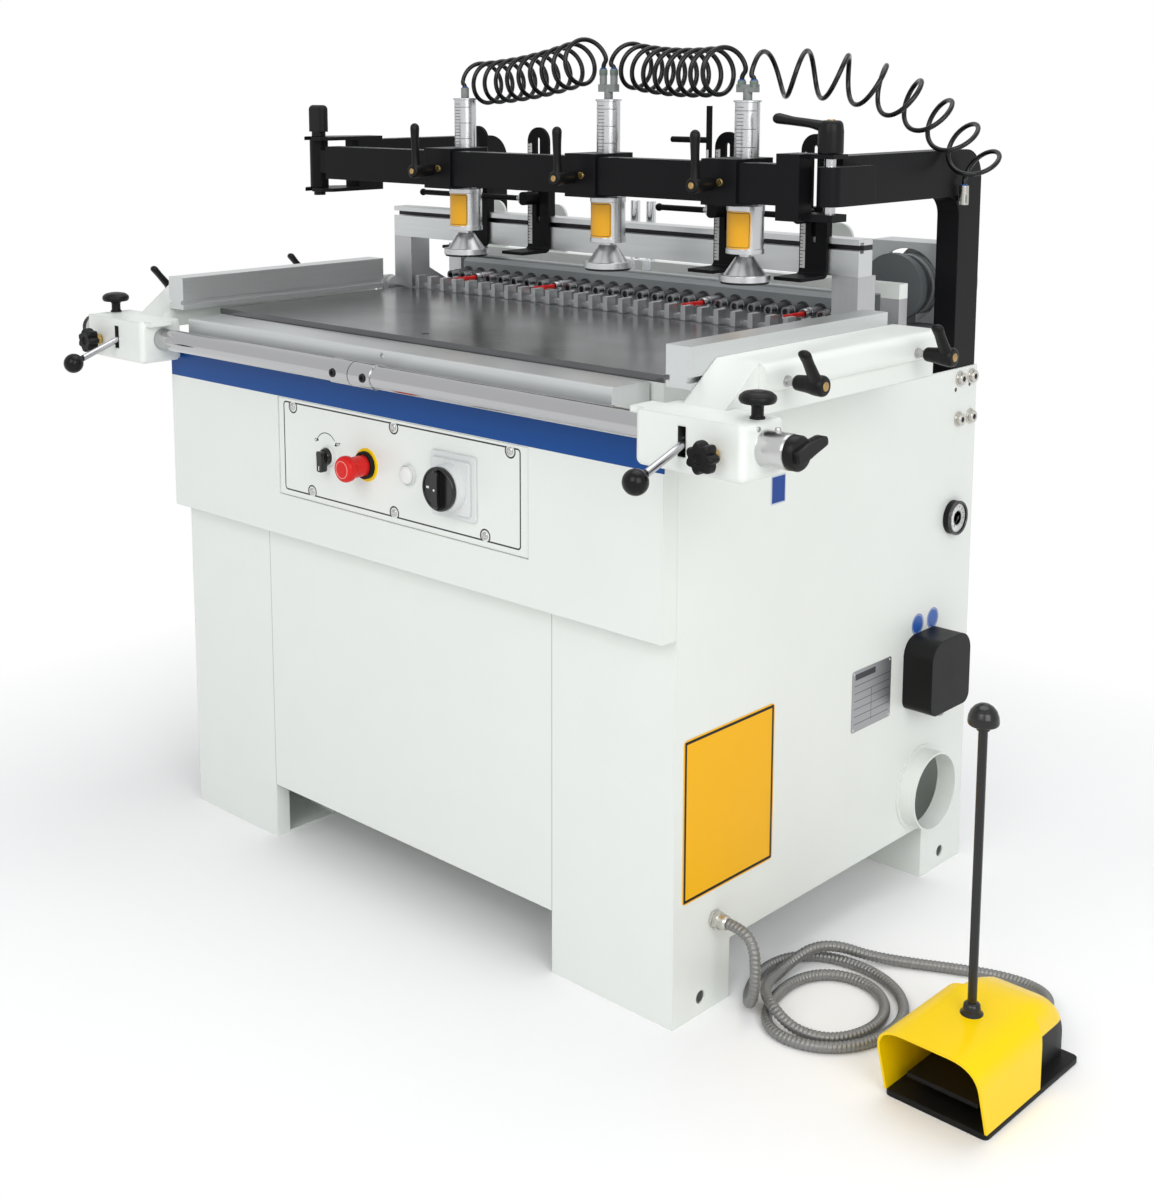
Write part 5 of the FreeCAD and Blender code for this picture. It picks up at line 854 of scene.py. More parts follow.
CONDUIT_ROUTE = [
    (546.5, 84, 126), (573, 84, 126.5), (593, 80, 109), (597, 77, 78), (596, 77, 54),
    (586, 84, 32), (566, 105, 13), (544, 134, 7.8), (529, 168, 7.8), (521, 205, 7.8),
    (528, 248, 7.8), (556, 282, 7.8), (602, 296, 7.8), (652, 293, 7.8), (698, 269, 7.8),
    (729, 226, 7.8), (735, 174, 7.8), (721, 124, 7.8), (688, 88, 7.8), (645, 75, 7.8),
    (611, 85, 7.8), (588, 115, 7.8), (574, 158, 7.8), (571, 206, 7.8), (588, 244, 7.8),
    (622, 263, 7.8), (662, 260, 7.8), (697, 233, 7.8), (713, 192, 7.8), (708, 146, 7.8),
    (683, 110, 7.8), (644, 96, 12), (608, 101, 26), (580, 121, 27), (562, 154, 22),
    (549, 194, 12), (546, 234, 16), (557, 266, 27), (580, 293, 27), (612, 322, 12),
    (660, 352, 7.8), (712, 381, 7.8), (766, 407, 7.8), (816, 410, 10), (852, 382, 18),
    (865, 346, 22), (865, 312, 22)]


def route_curve(name, points):
    """An open NURBS spline through given points in machine millimetres."""
    curve = bpy.data.curves.new(name, "CURVE")
    curve.dimensions = "3D"
    curve.resolution_u = 24
    spline = curve.splines.new("NURBS")
    spline.points.add(len(points) - 1)
    places = np.hstack([metres(points), np.ones((len(points), 1))])
    spline.points.foreach_set("co", places.ravel())
    spline.order_u = 3
    spline.use_endpoint_u = True
    made = bpy.data.objects.new(name, curve)
    bpy.context.scene.collection.objects.link(made)
    return made


def points_along(curve_object, steps):
    """Points an equal way apart along a curve, in machine millimetres."""
    bpy.context.view_layer.update()
    mesh = bpy.data.meshes.new_from_object(curve_object)
    flat = np.empty(len(mesh.vertices) * 3)
    mesh.vertices.foreach_get("co", flat)
    bpy.data.meshes.remove(mesh)
    bpy.data.objects.remove(curve_object)
    line = flat.reshape(-1, 3) * 1000 - DATUM
    run = np.concatenate([[0], np.cumsum(np.linalg.norm(np.diff(line, axis=0), axis=1))])
    where = np.linspace(0, run[-1], steps)
    return np.stack([np.interp(where, run, line[:, k]) for k in range(3)], -1), run[-1]


class MakeConduit(bpy.types.Operator):
    """Ribbed conduit from the gland on the cabinet, in two turns on the floor, to the pedal"""
    bl_idname = "boring_machine.conduit"
    bl_label = "Conduit"

    def execute(self, context):
        sizes = context.scene.machine_sizes
        pitch, sides, samples = mm(sizes.conduit_pitch), 14, 6
        finish = Finish("conduit_grey", context.scene.machine_colours.conduit, 0.34,
                        metallic=0.55)
        finish.vary(finish.noise(40), 0.12, 0.10)
        finish.bump(finish.noise(800, 2), 0.02)
        total = points_along(route_curve("conduit_line", CONDUIT_ROUTE), 2)[1]
        steps = int(total / pitch * samples)
        path, total = points_along(route_curve("conduit_line", CONDUIT_ROUTE), steps)
        # radius = outer - rib * ((1 - cos(phase + angle)) / 2) ^ 2, the phase growing along
        angle = angles(sides)
        phase = (np.linspace(0, total, steps) / pitch * 2 * math.pi)[:, None]
        wave = 0.5 - 0.5 * np.cos(phase + angle)
        radius = mm(sizes.conduit_radius) - mm(sizes.conduit_rib) * wave ** 2
        rings = np.stack([radius * np.cos(angle), radius * np.sin(angle)], -1)
        shell = Shell()
        swept(shell, path, rings)
        made = shell.piece("conduit_ribbed", "base", [finish], "grey_plastic",
                           ("conduit",), 60)
        return {"FINISHED"}


# Body, both ends, the bend of the axis and the turns of each hose
HOSES = {
    "air_hose_left": ("beam", (-190, 323, 1206), (108, 323, 1233.5),
                      (-35.75, 323, 1216.25), 9.5),
    "air_hose_middle": ("beam", (129, 323, 1233.5), (364.5, 323, 1216.5),
                        (246.75, 323, 1221.5), 8.5),
    "air_hose_right": ("base", (385.5, 323, 1216.5), (529, 645, 1064),
                       (565, 450, 1245), 7.5),
}


def coil_route(start, end, bend, turns, radius, steps):
    """Points of a hose that winds round a drooping axis between two upright ends.

    The axis is a parabola through the bend. A turn's point is axis + side * cos(phase)
    + (side x ahead) * sin(phase), and the phase grows evenly.
    """
    start, end, bend = (np.asarray(p, float) for p in (start, end, bend))
    up = np.array(UP, float)
    first, last = start + up * 7, end + up * 14
    near = unit(np.cross(bend - first, up))
    far = unit(np.cross(last - bend, up))
    axis_start, axis_end = first - near * radius, last + far * radius
    share = np.linspace(0, 1, int(turns * steps) + 1)[:, None]
    axis = (axis_start * (1 - share) ** 2 + bend * 2 * share * (1 - share)
            + axis_end * share ** 2)
    ahead = unit((bend - axis_start) * (1 - share) + (axis_end - bend) * share)
    side = unit(np.cross(ahead, up))
    wide = radius / math.cos(math.pi / steps) ** 0.5
    phase = share * turns * 2 * math.pi
    turn = axis + side * wide * np.cos(phase) + np.cross(side, ahead) * wide * np.sin(phase)
    return np.vstack([start, start + up * 4, turn, end + up * 7, end])


class MakeAirHoses(bpy.types.Operator):
    """Three coiled black air hoses above the beam"""
    bl_idname = "boring_machine.air_hoses"
    bl_label = "Air hoses"

    def execute(self, context):
        sizes = context.scene.machine_sizes
        finish = Finish("hose_black", (0.004, 0.004, 0.005), 0.16, gleam=0.35)
        finish.vary(finish.noise(60), 0.08, 0.05)
        finish.bump(finish.noise(900, 2), 0.006)
        for name, (body, start, end, bend, turns) in HOSES.items():
            route = coil_route(start, end, bend, turns, mm(sizes.coil_radius), sizes.coil_steps)
            total = points_along(route_curve(name + "_line", route), 200)[1]
            made = route_curve(name + "_coil", route)
            made.data.resolution_u = 5
            made.data.bevel_depth = mm(sizes.hose_radius) / 1000
            made.data.bevel_resolution = 3
            made.data.use_fill_caps = True
            made.data.materials.append(finish.material)
            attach(made, body)
            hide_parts(name)
        return {"FINISHED"}


# Bits


class MakeBits(bpy.types.Operator):
    """Four red boring bits with their noses"""
    bl_idname = "boring_machine.bits"
    bl_label = "Boring bits"

    def execute(self, context):
        colours = context.scene.machine_colours
        sizes = context.scene.machine_sizes
        red = plastic("bit_red", colours.red, 0.30, 0.4, 0.008)
        red.paint(red.y < 448.5, (0.55, 0.55, 0.56), 0.22, 1.0)
        steel = nose_steel()
        shank, sides = 47, 40
        for letter, place in (("a", -11), ("b", -5), ("c", 5), ("d", 11)):
            shell = Shell()
            nose = np.array((SPINDLE_PITCH * place, 498.0, 872.0))
            # radius = bit radius * (1 - depth * flute), two flutes turning once a pitch
            along = np.linspace(0, 1, 46)[:, None]
            angle = angles(sides)
            travel = shank * along
            flute = np.cos(angle * 2 - travel / mm(sizes.bit_pitch) * 2 * math.pi)
            depth = 0.42 * np.clip(along * 9 - 1.4, 0, 1)
            radius = mm(sizes.bit_radius) * (1 - depth * np.clip(flute, 0, 1) ** 0.8)
            points = np.stack([nose[0] + radius * np.cos(angle),
                               nose[1] - travel + 0 * angle,
                               nose[2] + radius * np.sin(angle)], -1)
            shell.grid(points, wrap=True, ends=True)
            turned(shell, [(0.4, 0), (3.95, 4.5), (3.98, 5.2), (3.6, 6.0)],
                   nose - (0, 51.5, 0), BACK, 32)
            turned(shell, [(5.0, 3), (5.0, 0.4), (5.6, 0), (7.5, 0), (8.0, 0.6), (8.0, 13.6),
                           (8.6, 14), (9.0, 14.6), (9.0, 60.2), (6, 60.4)],
                   nose, BACK, sides, 1)
            shell.piece("bit_" + letter, "spindle_%s_turn" % letter, [red, steel],
                        "red_plastic", ("spindle_" + letter,))
        return {"FINISHED"}


# Side panel


def side_plate(shell, y_low, y_high, z_low, z_high, thick, corner):
    """A plate just clear of the right side panel, between these places along Y and up Z."""
    plate(shell, rectangle(y_high - y_low, z_high - z_low, (y_low + y_high) / 2,
                           (z_low + z_high) / 2),
          thick, (SIDE_X + 0.05, 0, 0), BACK, UP, 0, corner, 0.25)


class MakeSideLabels(bpy.types.Operator):
    """Plain plates and stickers on the right side of the cabinet"""
    bl_idname = "boring_machine.side_labels"
    bl_label = "Side plates"

    def execute(self, context):
        colours = context.scene.machine_colours
        thick = mm(context.scene.machine_sizes.plate_thick)
        yellow = Finish("plate_yellow", (0.90, 0.46, 0.0), 0.34, gleam=0.2)
        across, up = abs(yellow.y - 113.5), abs(yellow.z - 277.5)
        border = (across > 90.5).most(up > 105.5)
        inside = (across < 94.5) * (up < 109.5)
        yellow.paint(border * inside, colours.black, 0.4)
        yellow.vary(yellow.noise(30), 0.08, 0.04)
        shell = Shell()
        side_plate(shell, 17, 210, 166, 389, thick, 7)
        shell.piece("yellow_plate", "base", [yellow], "yellow_paint")

        rating = metal("rating_metal", (0.40, 0.41, 0.42), 0.34, (1, 0.03, 1), 0.1)
        rows = ((rating.z - 290) % 11.5 < 0.9) * rating.y.between(402, 493)
        for printed in (rows * rating.z.between(297, 366),
                        rating.y.between(446, 447) * rating.z.between(300, 348),
                        rating.y.between(404, 456) * rating.z.between(368, 377)):
            rating.paint(printed, RATING_INK, 0.45)
        shell = Shell()
        side_plate(shell, 397, 498, 290, 382, thick, 4)
        rivets = metal("rivet_metal", (0.60, 0.60, 0.61), 0.25)
        for y, z in ((401, 294), (494, 294), (401, 378), (494, 378)):
            globe(shell, (SIDE_X + thick, y, z), 2.2, 0.45, RIGHT, 16, 1)
        shell.piece("rating_plate", "base", [rating, rivets], "aluminium")

        sticker = Finish("sticker_white", (0.80, 0.81, 0.80), 0.38)
        sticker.vary(sticker.noise(40), 0.08, 0.04)
        for y in SIGN_PLACES:
            away = sticker.y.away(y, sticker.z, 413.5)
            sticker.paint(away < 16.2, SIGN_BLUE, 0.34)
            sticker.paint(away.between(13.6, 14.6), SIGN_EDGE, 0.34)
        shell = Shell()
        side_plate(shell, 548, 630, 394, 433, 0.4, 3)
        shell.piece("side_sticker", "base", [sticker], "white_paint")

        tag = Finish("tag_blue", (0.004, 0.050, 0.27), 0.36, gleam=0.3)
        tag.vary(tag.noise(60), 0.10, 0.05)
        tag.paint((abs(tag.y - 208.5) > 14.3).most(abs(tag.z - 684) > 17.8),
                  SIGN_EDGE, 0.36)
        shell = Shell()
        side_plate(shell, 192, 225, 664, 704, 0.5, 3)
        shell.piece("side_tag", "base", [tag], "white_paint")
        return {"FINISHED"}


class MakeGauge(bpy.types.Operator):
    """Dial, needle, hub and bright ring of the pressure gauge"""
    bl_idname = "boring_machine.gauge"
    bl_label = "Pressure gauge"

    def execute(self, context):
        y, z = 656.0, 562.0
        face = Finish("dial_face", (0.78, 0.79, 0.78), 0.30)
        face.vary(face.noise(80), 0.06, 0.04)
        away = face.y.away(y, face.z, z)
        turn = (face.z - z).calc("ARCTAN2", face.y - y) * (180 / math.pi) + 360
        ticks = ((turn + 1.5) % 27 < 3.0) * away.between(14.5, 19.0)
        fine = ((turn + 0.7) % 5.4 < 1.5) * away.between(17.2, 19.0)
        low = (1 - (face.z < z - 8) * (abs(face.y - y) < 13))
        face.paint(ticks.most(fine) * low, (0.02, 0.02, 0.02), 0.4)
        face.paint(away.between(19.3, 20.1) * low * (face.z > z - 3) * (face.y < y - 2),
                   (0.45, 0.02, 0.02), 0.4)
        ink = Finish("needle_black", (0.02, 0.02, 0.022), 0.35)
        ink.vary(ink.noise(50), 0.1)
        ring = metal("dial_ring", (0.10, 0.10, 0.105), 0.22)
        shell = Shell()
        turned(shell, [(21.9, 0), (21.9, 0.5), (21.6, 0.6)], (SIDE_X + 9.0, y, z), RIGHT, 64)
        aim = np.array((0.0, -0.64, -0.77))
        plate(shell, [(-4.5, -0.9), (-4.5, 0.9), (16, 0.28), (16, -0.28)], 0.5,
              (SIDE_X + 10.2, y, z), aim, np.cross(RIGHT, aim), 1, 0, 0.1)
        turned(shell, [(2.6, 0), (2.6, 1.2), (1.8, 1.8)], (SIDE_X + 9.6, y, z), RIGHT, 24, 1)
        rim = [(22.0, 8.6), (22.2, 12.4), (24.0, 13.2), (26.3, 12.6), (26.6, 9.0)]
        hoop(shell, soften(rim, 1.2, 3, False), (SIDE_X, y, z), RIGHT, 64, 2)
        shell.piece("gauge_dial", "base", [face, ink, ring], "white_plastic")
        return {"FINISHED"}


class MakeSideFasteners(bpy.types.Operator):
    """Hexagon gland of the conduit, bolts of the arm and gland under the terminal cover"""
    bl_idname = "boring_machine.side_fasteners"
    bl_label = "Side fasteners"

    def execute(self, context):
        bright = metal("gland_nickel", NICKEL, 0.22, edge=0.3)
        dark = plastic("socket_shade_black", (0.012, 0.012, 0.013), 0.5)
        shell = Shell()
        base = np.array((SIDE_X, 84.0, 126.0))
        way = RIGHT
        turned(shell, [(11.0, 0), (12.6, 0.8), (12.6, 4.6), (11.6, 5.2)], base, way, 6)
        turned(shell, [(11.2, 5.2), (12.9, 6.0), (12.9, 11.6), (11.9, 12.4)], base, way, 6,
               start=0.4)
        turned(shell, [(10.4, 12.4), (10.4, 16.4), (9.8, 18.4), (10.0, 19.4), (9.2, 22.6),
                       (7.7, 23.9)], base, way, 36)
        shell.piece("gland_hexagon", "base", [bright], "chrome", ("conduit_gland",))

        shell = Shell()
        for y in (664.0, 698.0):
            for z in (712.0, 774.0):
                spot = np.array((SIDE_X, y, z))
                turned(shell, [(11.4, 0), (11.8, 0.5), (11.8, 1.4), (11.0, 1.9)], spot, way,
                       40)
                turned(shell, [(9.1, 1.9), (9.3, 2.4), (9.3, 7.3), (8.5, 8.0)], spot, way, 40)
                # A thin black hexagon on each bolt head, painted as the shade inside its hex
                # socket
                turned(shell, [(4.6, 7.9), (4.6, 8.15)], spot, way, 6, 1)
        shell.piece("side_bolts", "base", [bright, dark], "chrome")

        grey = plastic("cable_gland_grey", (0.42, 0.43, 0.42), 0.35, 0.4)
        shell = Shell()
        turned(shell, [(9.0, 0), (9.6, 0.8), (9.6, 7.5), (8.6, 8.4), (8.6, 15.6), (7.4, 17.6),
                       (5.0, 18.6), (0.6, 18.8)], (545, 598, 288), DOWN, 12)
        shell.piece("cover_gland", "base", [grey], "grey_plastic")
        return {"FINISHED"}


# Controls on the front


class MakeControls(bpy.types.Operator):
    """Plate of the front controls with its two switches, start and mushroom buttons"""
    bl_idname = "boring_machine.controls"
    bl_label = "Controls"

    def execute(self, context):
        colours = context.scene.machine_colours
        way, wide, high = FRONT, RIGHT, UP
        face = PLATE_Y + 0.1
        mains, emergency, start, selector = (
            np.array((x, PLATE_Y, CONTROL_Z)) for x in (MAINS_X, EMERGENCY_X, START_X,
                                                        SELECTOR_X))
        steel = metal("screw_steel", (0.60, 0.60, 0.60), 0.20, edge=0.3)
        dark = plastic("black_parts_and_slot_shade", colours.plastic, 0.5, 0.2)
        light = plastic("bezel_grey", (0.70, 0.72, 0.71), 0.30, 0.4, 0.01)
        disc = plastic("disc_yellow", (0.94, 0.60, 0.0), 0.34, 0.3, 0.01)
        black = plastic("switch_black", colours.plastic, 0.14, 0.5, 0.004, 0.5)
        white = plastic("mark_white", (0.78, 0.78, 0.77), 0.4, 0.2)
        shell = Shell()
        plate(shell, rectangle(532, 150, 25, 667), 2.5, (0, -24, 0), wide, high, 0, 3, 0.4)
        for number, (x, z) in enumerate(PLATE_SCREWS):
            spot = np.array((x, face, z))
            turned(shell, [(5.4, 0), (5.5, 0.5), (5.5, 1.5), (4.4, 2.4), (2.0, 2.8)], spot,
                   way, 32, 1)
            # Two thin black bars crossing on each screw head, painted as the shade in its cross
            # recess
            lean = 0.5 + number * 0.9
            for extra in (0, math.pi / 2):
                line = np.array((math.cos(lean + extra), 0, math.sin(lean + extra)))
                plate(shell, rectangle(6.6, 1.3), 0.3, spot + (0, -2.7, 0), line,
                      np.cross(way, line) * -1, 2, 0, 0.05)
        for points in ([(-150.5, 686.5), (-148, 692), (-145.2, 687.6)],
                       [(-104.0, 683.5), (-104.6, 690), (-109.0, 685.6)]):
            plate(shell, points, 0.15, (0, face - 0.05, 0), wide, high, 2, 0, 0.02)
        for outline, thick, y, corner in ((rectangle(90, 92), 5, face, 7),
                                          (rectangle(76, 76), 5.5, -31.2, 6)):
            plate(shell, outline, thick, (MAINS_X, y, CONTROL_Z), wide, high, 3, corner, 1.2)
        turned(shell, [(33, 10), (33, 18), (31.8, 19.6), (31.8, 25.2), (30.8, 25.6)],
               mains, way, 64, 3)
        lifted = (EMERGENCY_X, face, CONTROL_Z)
        turned(shell, [(24.4, 0), (24.5, 1.6), (23.8, 2.2)], lifted, way, 64, 4)
        hoop(shell, [(16.6, 2.0), (16.6, 8.4), (19.4, 8.4), (20.4, 7.2), (20.4, 2.0)],
             lifted, way, 56, 2)
        for x, inner in ((SELECTOR_X, 12.6), (START_X, 13.5)):
            hoop(shell, [(inner, -0.1), (inner, 5.2), (14.2, 5.8), (15.2, 4.6), (15.2, -0.1)],
                 (x, face, CONTROL_Z), way, 56, 3)
        shell.piece("control_panel", "base", [plate_print(colours), steel, dark, light, disc],
                    "white_paint", ("control_plate",))

        red = plastic("mushroom_red", colours.red, 0.22, 0.6, 0.006)
        pale = plastic("mushroom_ring", (0.80, 0.30, 0.24), 0.3, 0.3)
        shell = Shell()
        moulded(shell, [(15.2, 6.4), (15.5, 7.0), (15.5, 31.0), (18.6, 33.6), (19.3, 37.0),
                        (19.3, 42.4), (17.2, 46.4), (9.0, 47.6), (0.6, 47.7)], 1.6, 4,
                emergency, way, 64)
        hoop(shell, [(11.6, 46.9), (11.8, 47.7), (12.8, 47.6), (13.0, 46.8)], emergency, way,
             56, 1)
        shell.piece("emergency_mushroom", "emergency_body", [red, pale], "red_plastic",
                    ("emergency_button",))

        shell = Shell()
        turned(shell, [(12.6, 2.6), (13.0, 3.2), (13.0, 6.0), (12.2, 7.8), (9.6, 9.4),
                       (5.4, 10.4), (0.6, 10.7)], start, way, 48)
        shell.piece("start_dome", "start_body", [white], "white_plastic", ("start_button",))

        shell = Shell()
        turned(shell, [(11.6, 0.6), (12.0, 1.2), (12.0, 9.6), (10.8, 11.4), (0.6, 11.6)],
               selector, way, 48)
        plate(shell, [(-5, -22), (5, -22), (6.2, 2), (6.2, 9), (-6.2, 9), (-6.2, 2)], 12,
              selector - (0, 8, 0), wide, high, 0, 2.2, 1.0)
        plate(shell, rectangle(1.8, 7, 0, -16), 0.3, selector - (0, 19.9, 0), wide, high, 1,
              0.5, 0.08)
        shell.piece("selector_key", "selector_body", [black, white], "black_plastic",
                    ("selector_knob",))

        shell = Shell()
        moulded(shell, [(29.8, 25.9), (31.0, 26.8), (31.0, 32.0), (29.8, 33.6), (27.6, 33.6),
                        (26.8, 31.4), (0.6, 31.4)], 0.5, 3, mains, way, 72)
        plate(shell, rectangle(12, 52), 8.5, mains - (0, 31.1, 0), wide, high, 0, 5.6, 1.4, 5)
        plate(shell, rectangle(5.5, 3.2, -21, 0), 0.4, mains - (0, 31.3, 0), wide, high, 1,
              0.4, 0.08)
        turned(shell, [(1.7, 0), (1.6, 0.3)], mains - (0, 39.55, 0), way, 20, 1)
        shell.piece("mains_disc", "mains_body", [black, white], "black_plastic",
                    ("mains_knob",))
        return {"FINISHED"}


# Clamps and pressors


class MakeCastings(bpy.types.Operator):
    """Side castings with their winged cap, mushroom knob and two clamp levers"""
    bl_idname = "boring_machine.castings"
    bl_label = "Side castings"

    def execute(self, context):
        colours = context.scene.machine_colours
        black = plastic("clamp_black", colours.plastic, 0.30, 0.8)
        steel = metal("clamp_steel", (0.50, 0.50, 0.50), 0.26, edge=0.3)
        brass = metal("clamp_brass", BRASS, 0.28, edge=0.3)
        cap_lean, lever_lean = math.radians(14), math.radians(40)
        for side, (start, way) in CASTINGS.items():
            out = np.array((way, 0.0, 0.0))
            shell = Shell()
            # The solid's own cap, knob and levers lie past these places, and are left out
            lumps_of(shell, "side_carrier_" + side, lambda middle: (
                (middle[0] - start) * way < 110 or middle[1] < -60 and middle[2] < 836
                and (middle[0] - start) * way < 140))

            centre = np.array((start + 208.4 * way, BAR_Y, BAR_Z))
            turned(shell, [(19.4, 0), (20.5, 1.0), (20.5, 10.6), (18.6, 13.2), (9.0, 14.4),
                           (0.6, 14.5)], centre, out, 56, 1)
            along = np.array((0, math.cos(cap_lean), math.sin(cap_lean)))
            plate(shell, [(-15, -7.5), (8, -9.0), (30, -6.6), (44, -5.0), (44, 5.0),
                          (30, 6.6), (8, 9.0), (-15, 7.5)], 15, centre + out * 4.5, along,
                  np.cross(out, along), 1, 4.0, 1.4)
            turned(shell, [(3.4, -3), (3.6, 3.4), (3.0, 4.4)],
                   (start + 189 * way, BAR_Y, 830.6), UP, 20, 2)
            turned(shell, [(3.2, 0), (3.2, 0.8), (2.6, 1.3)],
                   (start + 172 * way, -79, 832.5), out, 20, 2)
            moulded(shell, [(9.0, 0.1), (9.0, 2.4), (7.2, 3.4), (7.2, 14.6), (10, 17.2),
                            (20.0, 18.4), (22.0, 22.4), (21.2, 26.6), (16.5, 30.6),
                            (8.0, 32.4), (0.6, 32.6)], 1.4, 4,
                    (start + 156 * way, -60, 840), UP, 56, 1)

            along = np.array((0, -math.sin(lever_lean), math.cos(lever_lean)))
            for y in (55.0, 345.0):
                hub = np.array((start + 113 * way, y, 863.0))
                turned(shell, [(7.0, 0.1), (7.0, 3.0), (5.2, 3.4), (5.2, 13.4)], hub, out, 32,
                       2)
                moulded(shell, [(8.0, 13.2), (9.4, 15.0), (10.6, 30.0), (12.6, 42.0),
                                (13.0, 52.0), (10.8, 55.6), (0.6, 55.8)], 2, 4, hub, out, 40,
                        1)
                turned(shell, [(5.6, 55.4), (5.6, 56.2), (4.8, 56.8)], hub, out, 24, 3)
                base = hub + out * 45
                grip(shell, [base - along * 4, base + along * 18 + out * 1,
                             base + along * 40 + out * 3, base + along * 54 + out * 4],
                     (10.5, 8.6, 7.6, 8.6), (8.4, 5.6, 5.0, 5.4), (0.0, 0.77, 0.64), 1)
            shell.piece("casting_" + side, "carrier_" + side,
                        [casting_finish(side, colours), black, steel, brass], "white_paint",
                        ("side_carrier_" + side,))
        return {"FINISHED"}


class MakeClampLevers(bpy.types.Operator):
    """Moulded clamp levers of the pressor brackets and of the beam's hinge"""
    bl_idname = "boring_machine.clamp_levers"
    bl_label = "Clamp levers"

    def execute(self, context):
        colours = context.scene.machine_colours
        black = plastic("lever_black", colours.plastic, 0.32, 0.8)
        brass = metal("lever_brass", BRASS, 0.28, edge=0.3)
        for number, x in PRESSORS:
            hub = np.array((x - 14.0, 264.0, 1076.0))
            shell = Shell()
            moulded(shell, [(7.4, 0.4), (8.4, 2.0), (9.2, 18.0), (10.8, 32.0), (11.0, 43.0),
                            (9.2, 45.8), (0.6, 46.0)], 1.8, 4, hub, FRONT, 40)
            turned(shell, [(4.6, 45.4), (4.6, 46.2), (4.0, 46.6)], hub, FRONT, 24, 1)
            base = hub - (0, 36, 0)
            grip(shell, [base - (0, 0, 3), base + (0, -1, 22), base + (0, -2, 50),
                         base + (0, -2, 68)], (7.4, 5.2, 5.8, 7.2), (9.0, 6.2, 7.0, 7.4), BACK)
            shell.piece("clamp_lever_%d" % number, "lever_%d" % number, [black, brass],
                        "black_plastic", ("pressor_lever_%d" % number,))

        hinge = np.array((HINGE_X, HINGE_Y, 1121.3))
        shell = Shell()
        moulded(shell, [(15.8, 0), (17.0, 1.2), (17.0, 30.0), (15.6, 40.0), (12.4, 43.6),
                        (0.6, 44.0)], 2.4, 4, hinge, UP, 48)
        turned(shell, [(5.4, 43.4), (5.4, 44.4), (4.6, 45)], hinge, UP, 24, 1)
        arm = hinge + (0, 0, 33)
        grip(shell, [arm, arm + (-30, 0, 6), arm + (-62, 0, 9), arm + (-84, 0, 12)],
             (13.5, 10.0, 9.0, 10.5), (9.0, 6.0, 6.0, 7.4), UP)
        shell.piece("hinge_lever", "beam_lever_body", [black, brass], "black_plastic",
                    ("beam_lever",))
        return {"FINISHED"}


class MakePedal(bpy.types.Operator):
    """Rounded yellow hood of the pedal, its rear cover, and the carrying rod with its cap"""
    bl_idname = "boring_machine.pedal"
    bl_label = "Pedal"

    def execute(self, context):
        colours = context.scene.machine_colours
        yellow = pedal_yellow(colours)
        black = plastic("rod_black", colours.plastic, 0.18, 0.4, 0.004, 0.5)
        foot, top, half, wall, corner = 8, 104, 69, 3, 38
        front_low, lean, rear = 72, 29, 200
        shell = Shell()
        # An arch section, outside and inside, is carried back from the leaning front edge:
        # y = front_low - lean * (z - foot) / (top - foot), in even rows as far as the rear
        share = np.linspace(0, 1, 9)[:, None]
        skins = []
        for inset in (0, wall):
            left, right, roof = PEDAL_X - half + inset, PEDAL_X + half - inset, top - inset
            section = soften([(left, foot), (left, roof), (right, roof), (right, foot)],
                             corner - inset, 8, False)
            front = front_low - lean * (section[:, 1] - foot) / (top - foot)
            along = front * (1 - share) + rear * share
            skins.append(np.stack([section[:, 0] + 0 * along, along,
                                   section[:, 1] + 0 * along], -1))
            shell.grid(skins[-1])
        for row in (0, -1):
            shell.grid(np.stack([skins[0][row], skins[1][row]]))
        for column in (0, -1):
            shell.grid(np.stack([skins[0][:, column], skins[1][:, column]]))
        plate(shell, section, wall, (0, rear, 0), RIGHT, UP, 0, 0, 0.3)
        x, y = PEDAL_X + 3, 146
        turned(shell, [(14, 0), (14, 1.6), (11, 4.2), (10, 12.6), (8, 14.6), (5.5, 15)],
               (x, y, 103.4), UP, 40, 1)
        rod(shell, (x, y, 106), (x, y, 472), 5.6, 28, 1)
        turned(shell, [(7.4, 0), (8, 0.6), (8, 5), (7.4, 5.6)], (x, y, 462.5), UP, 32, 1)
        moulded(shell, [(4.0, 0), (16.8, 0), (18.4, 1.6), (18.7, 5), (18.0, 11), (15.6, 17.4),
                        (11.5, 22.3), (6.5, 25.4), (0.5, 26.4)], 1, 3, (x, y, 469), UP, 48, 1)
        shell.piece("pedal_hood", "base", [yellow, black], "yellow_paint", ("pedal_guard",))

        # The switch body behind the hood: place along Y, half width and top of each section
        shell = Shell()
        rings = [[(PEDAL_X + across, y, up) for across, up in
                  soften([(-wide, foot), (wide, foot), (wide, high), (-wide, high)],
                         np.array([0.5, 0.5, 26, 26]), 6)]
                 for y, wide, high in ((200.4, 54, 101), (216, 54, 101), (240, 53.5, 98),
                                       (268, 53, 88), (282, 52, 76), (289, 50.5, 64),
                                       (290, 49, 60))]
        shell.grid(rings, wrap=True, ends=True)
        plate(shell, rectangle(2 * half, 228), foot, (PEDAL_X, 186, 0), RIGHT, BACK, 1, 8, 0.8)
        rod(shell, (PEDAL_X - 65.8, 184, 32), (PEDAL_X + 65.8, 184, 32), 4, 24, 1)
        turned(shell, [(10.4, 0), (11, 0.8), (11, 20), (10, 21.6), (8.4, 22)],
               (PEDAL_X, 289.6, 22), BACK, 32, 1)
        base = plastic("pedal_black", colours.plastic, 0.46, 1.2, 0.05)
        shell.piece("pedal_switch", "base", [yellow, base], "yellow_paint", ("pedal_base",))
        return {"FINISHED"}


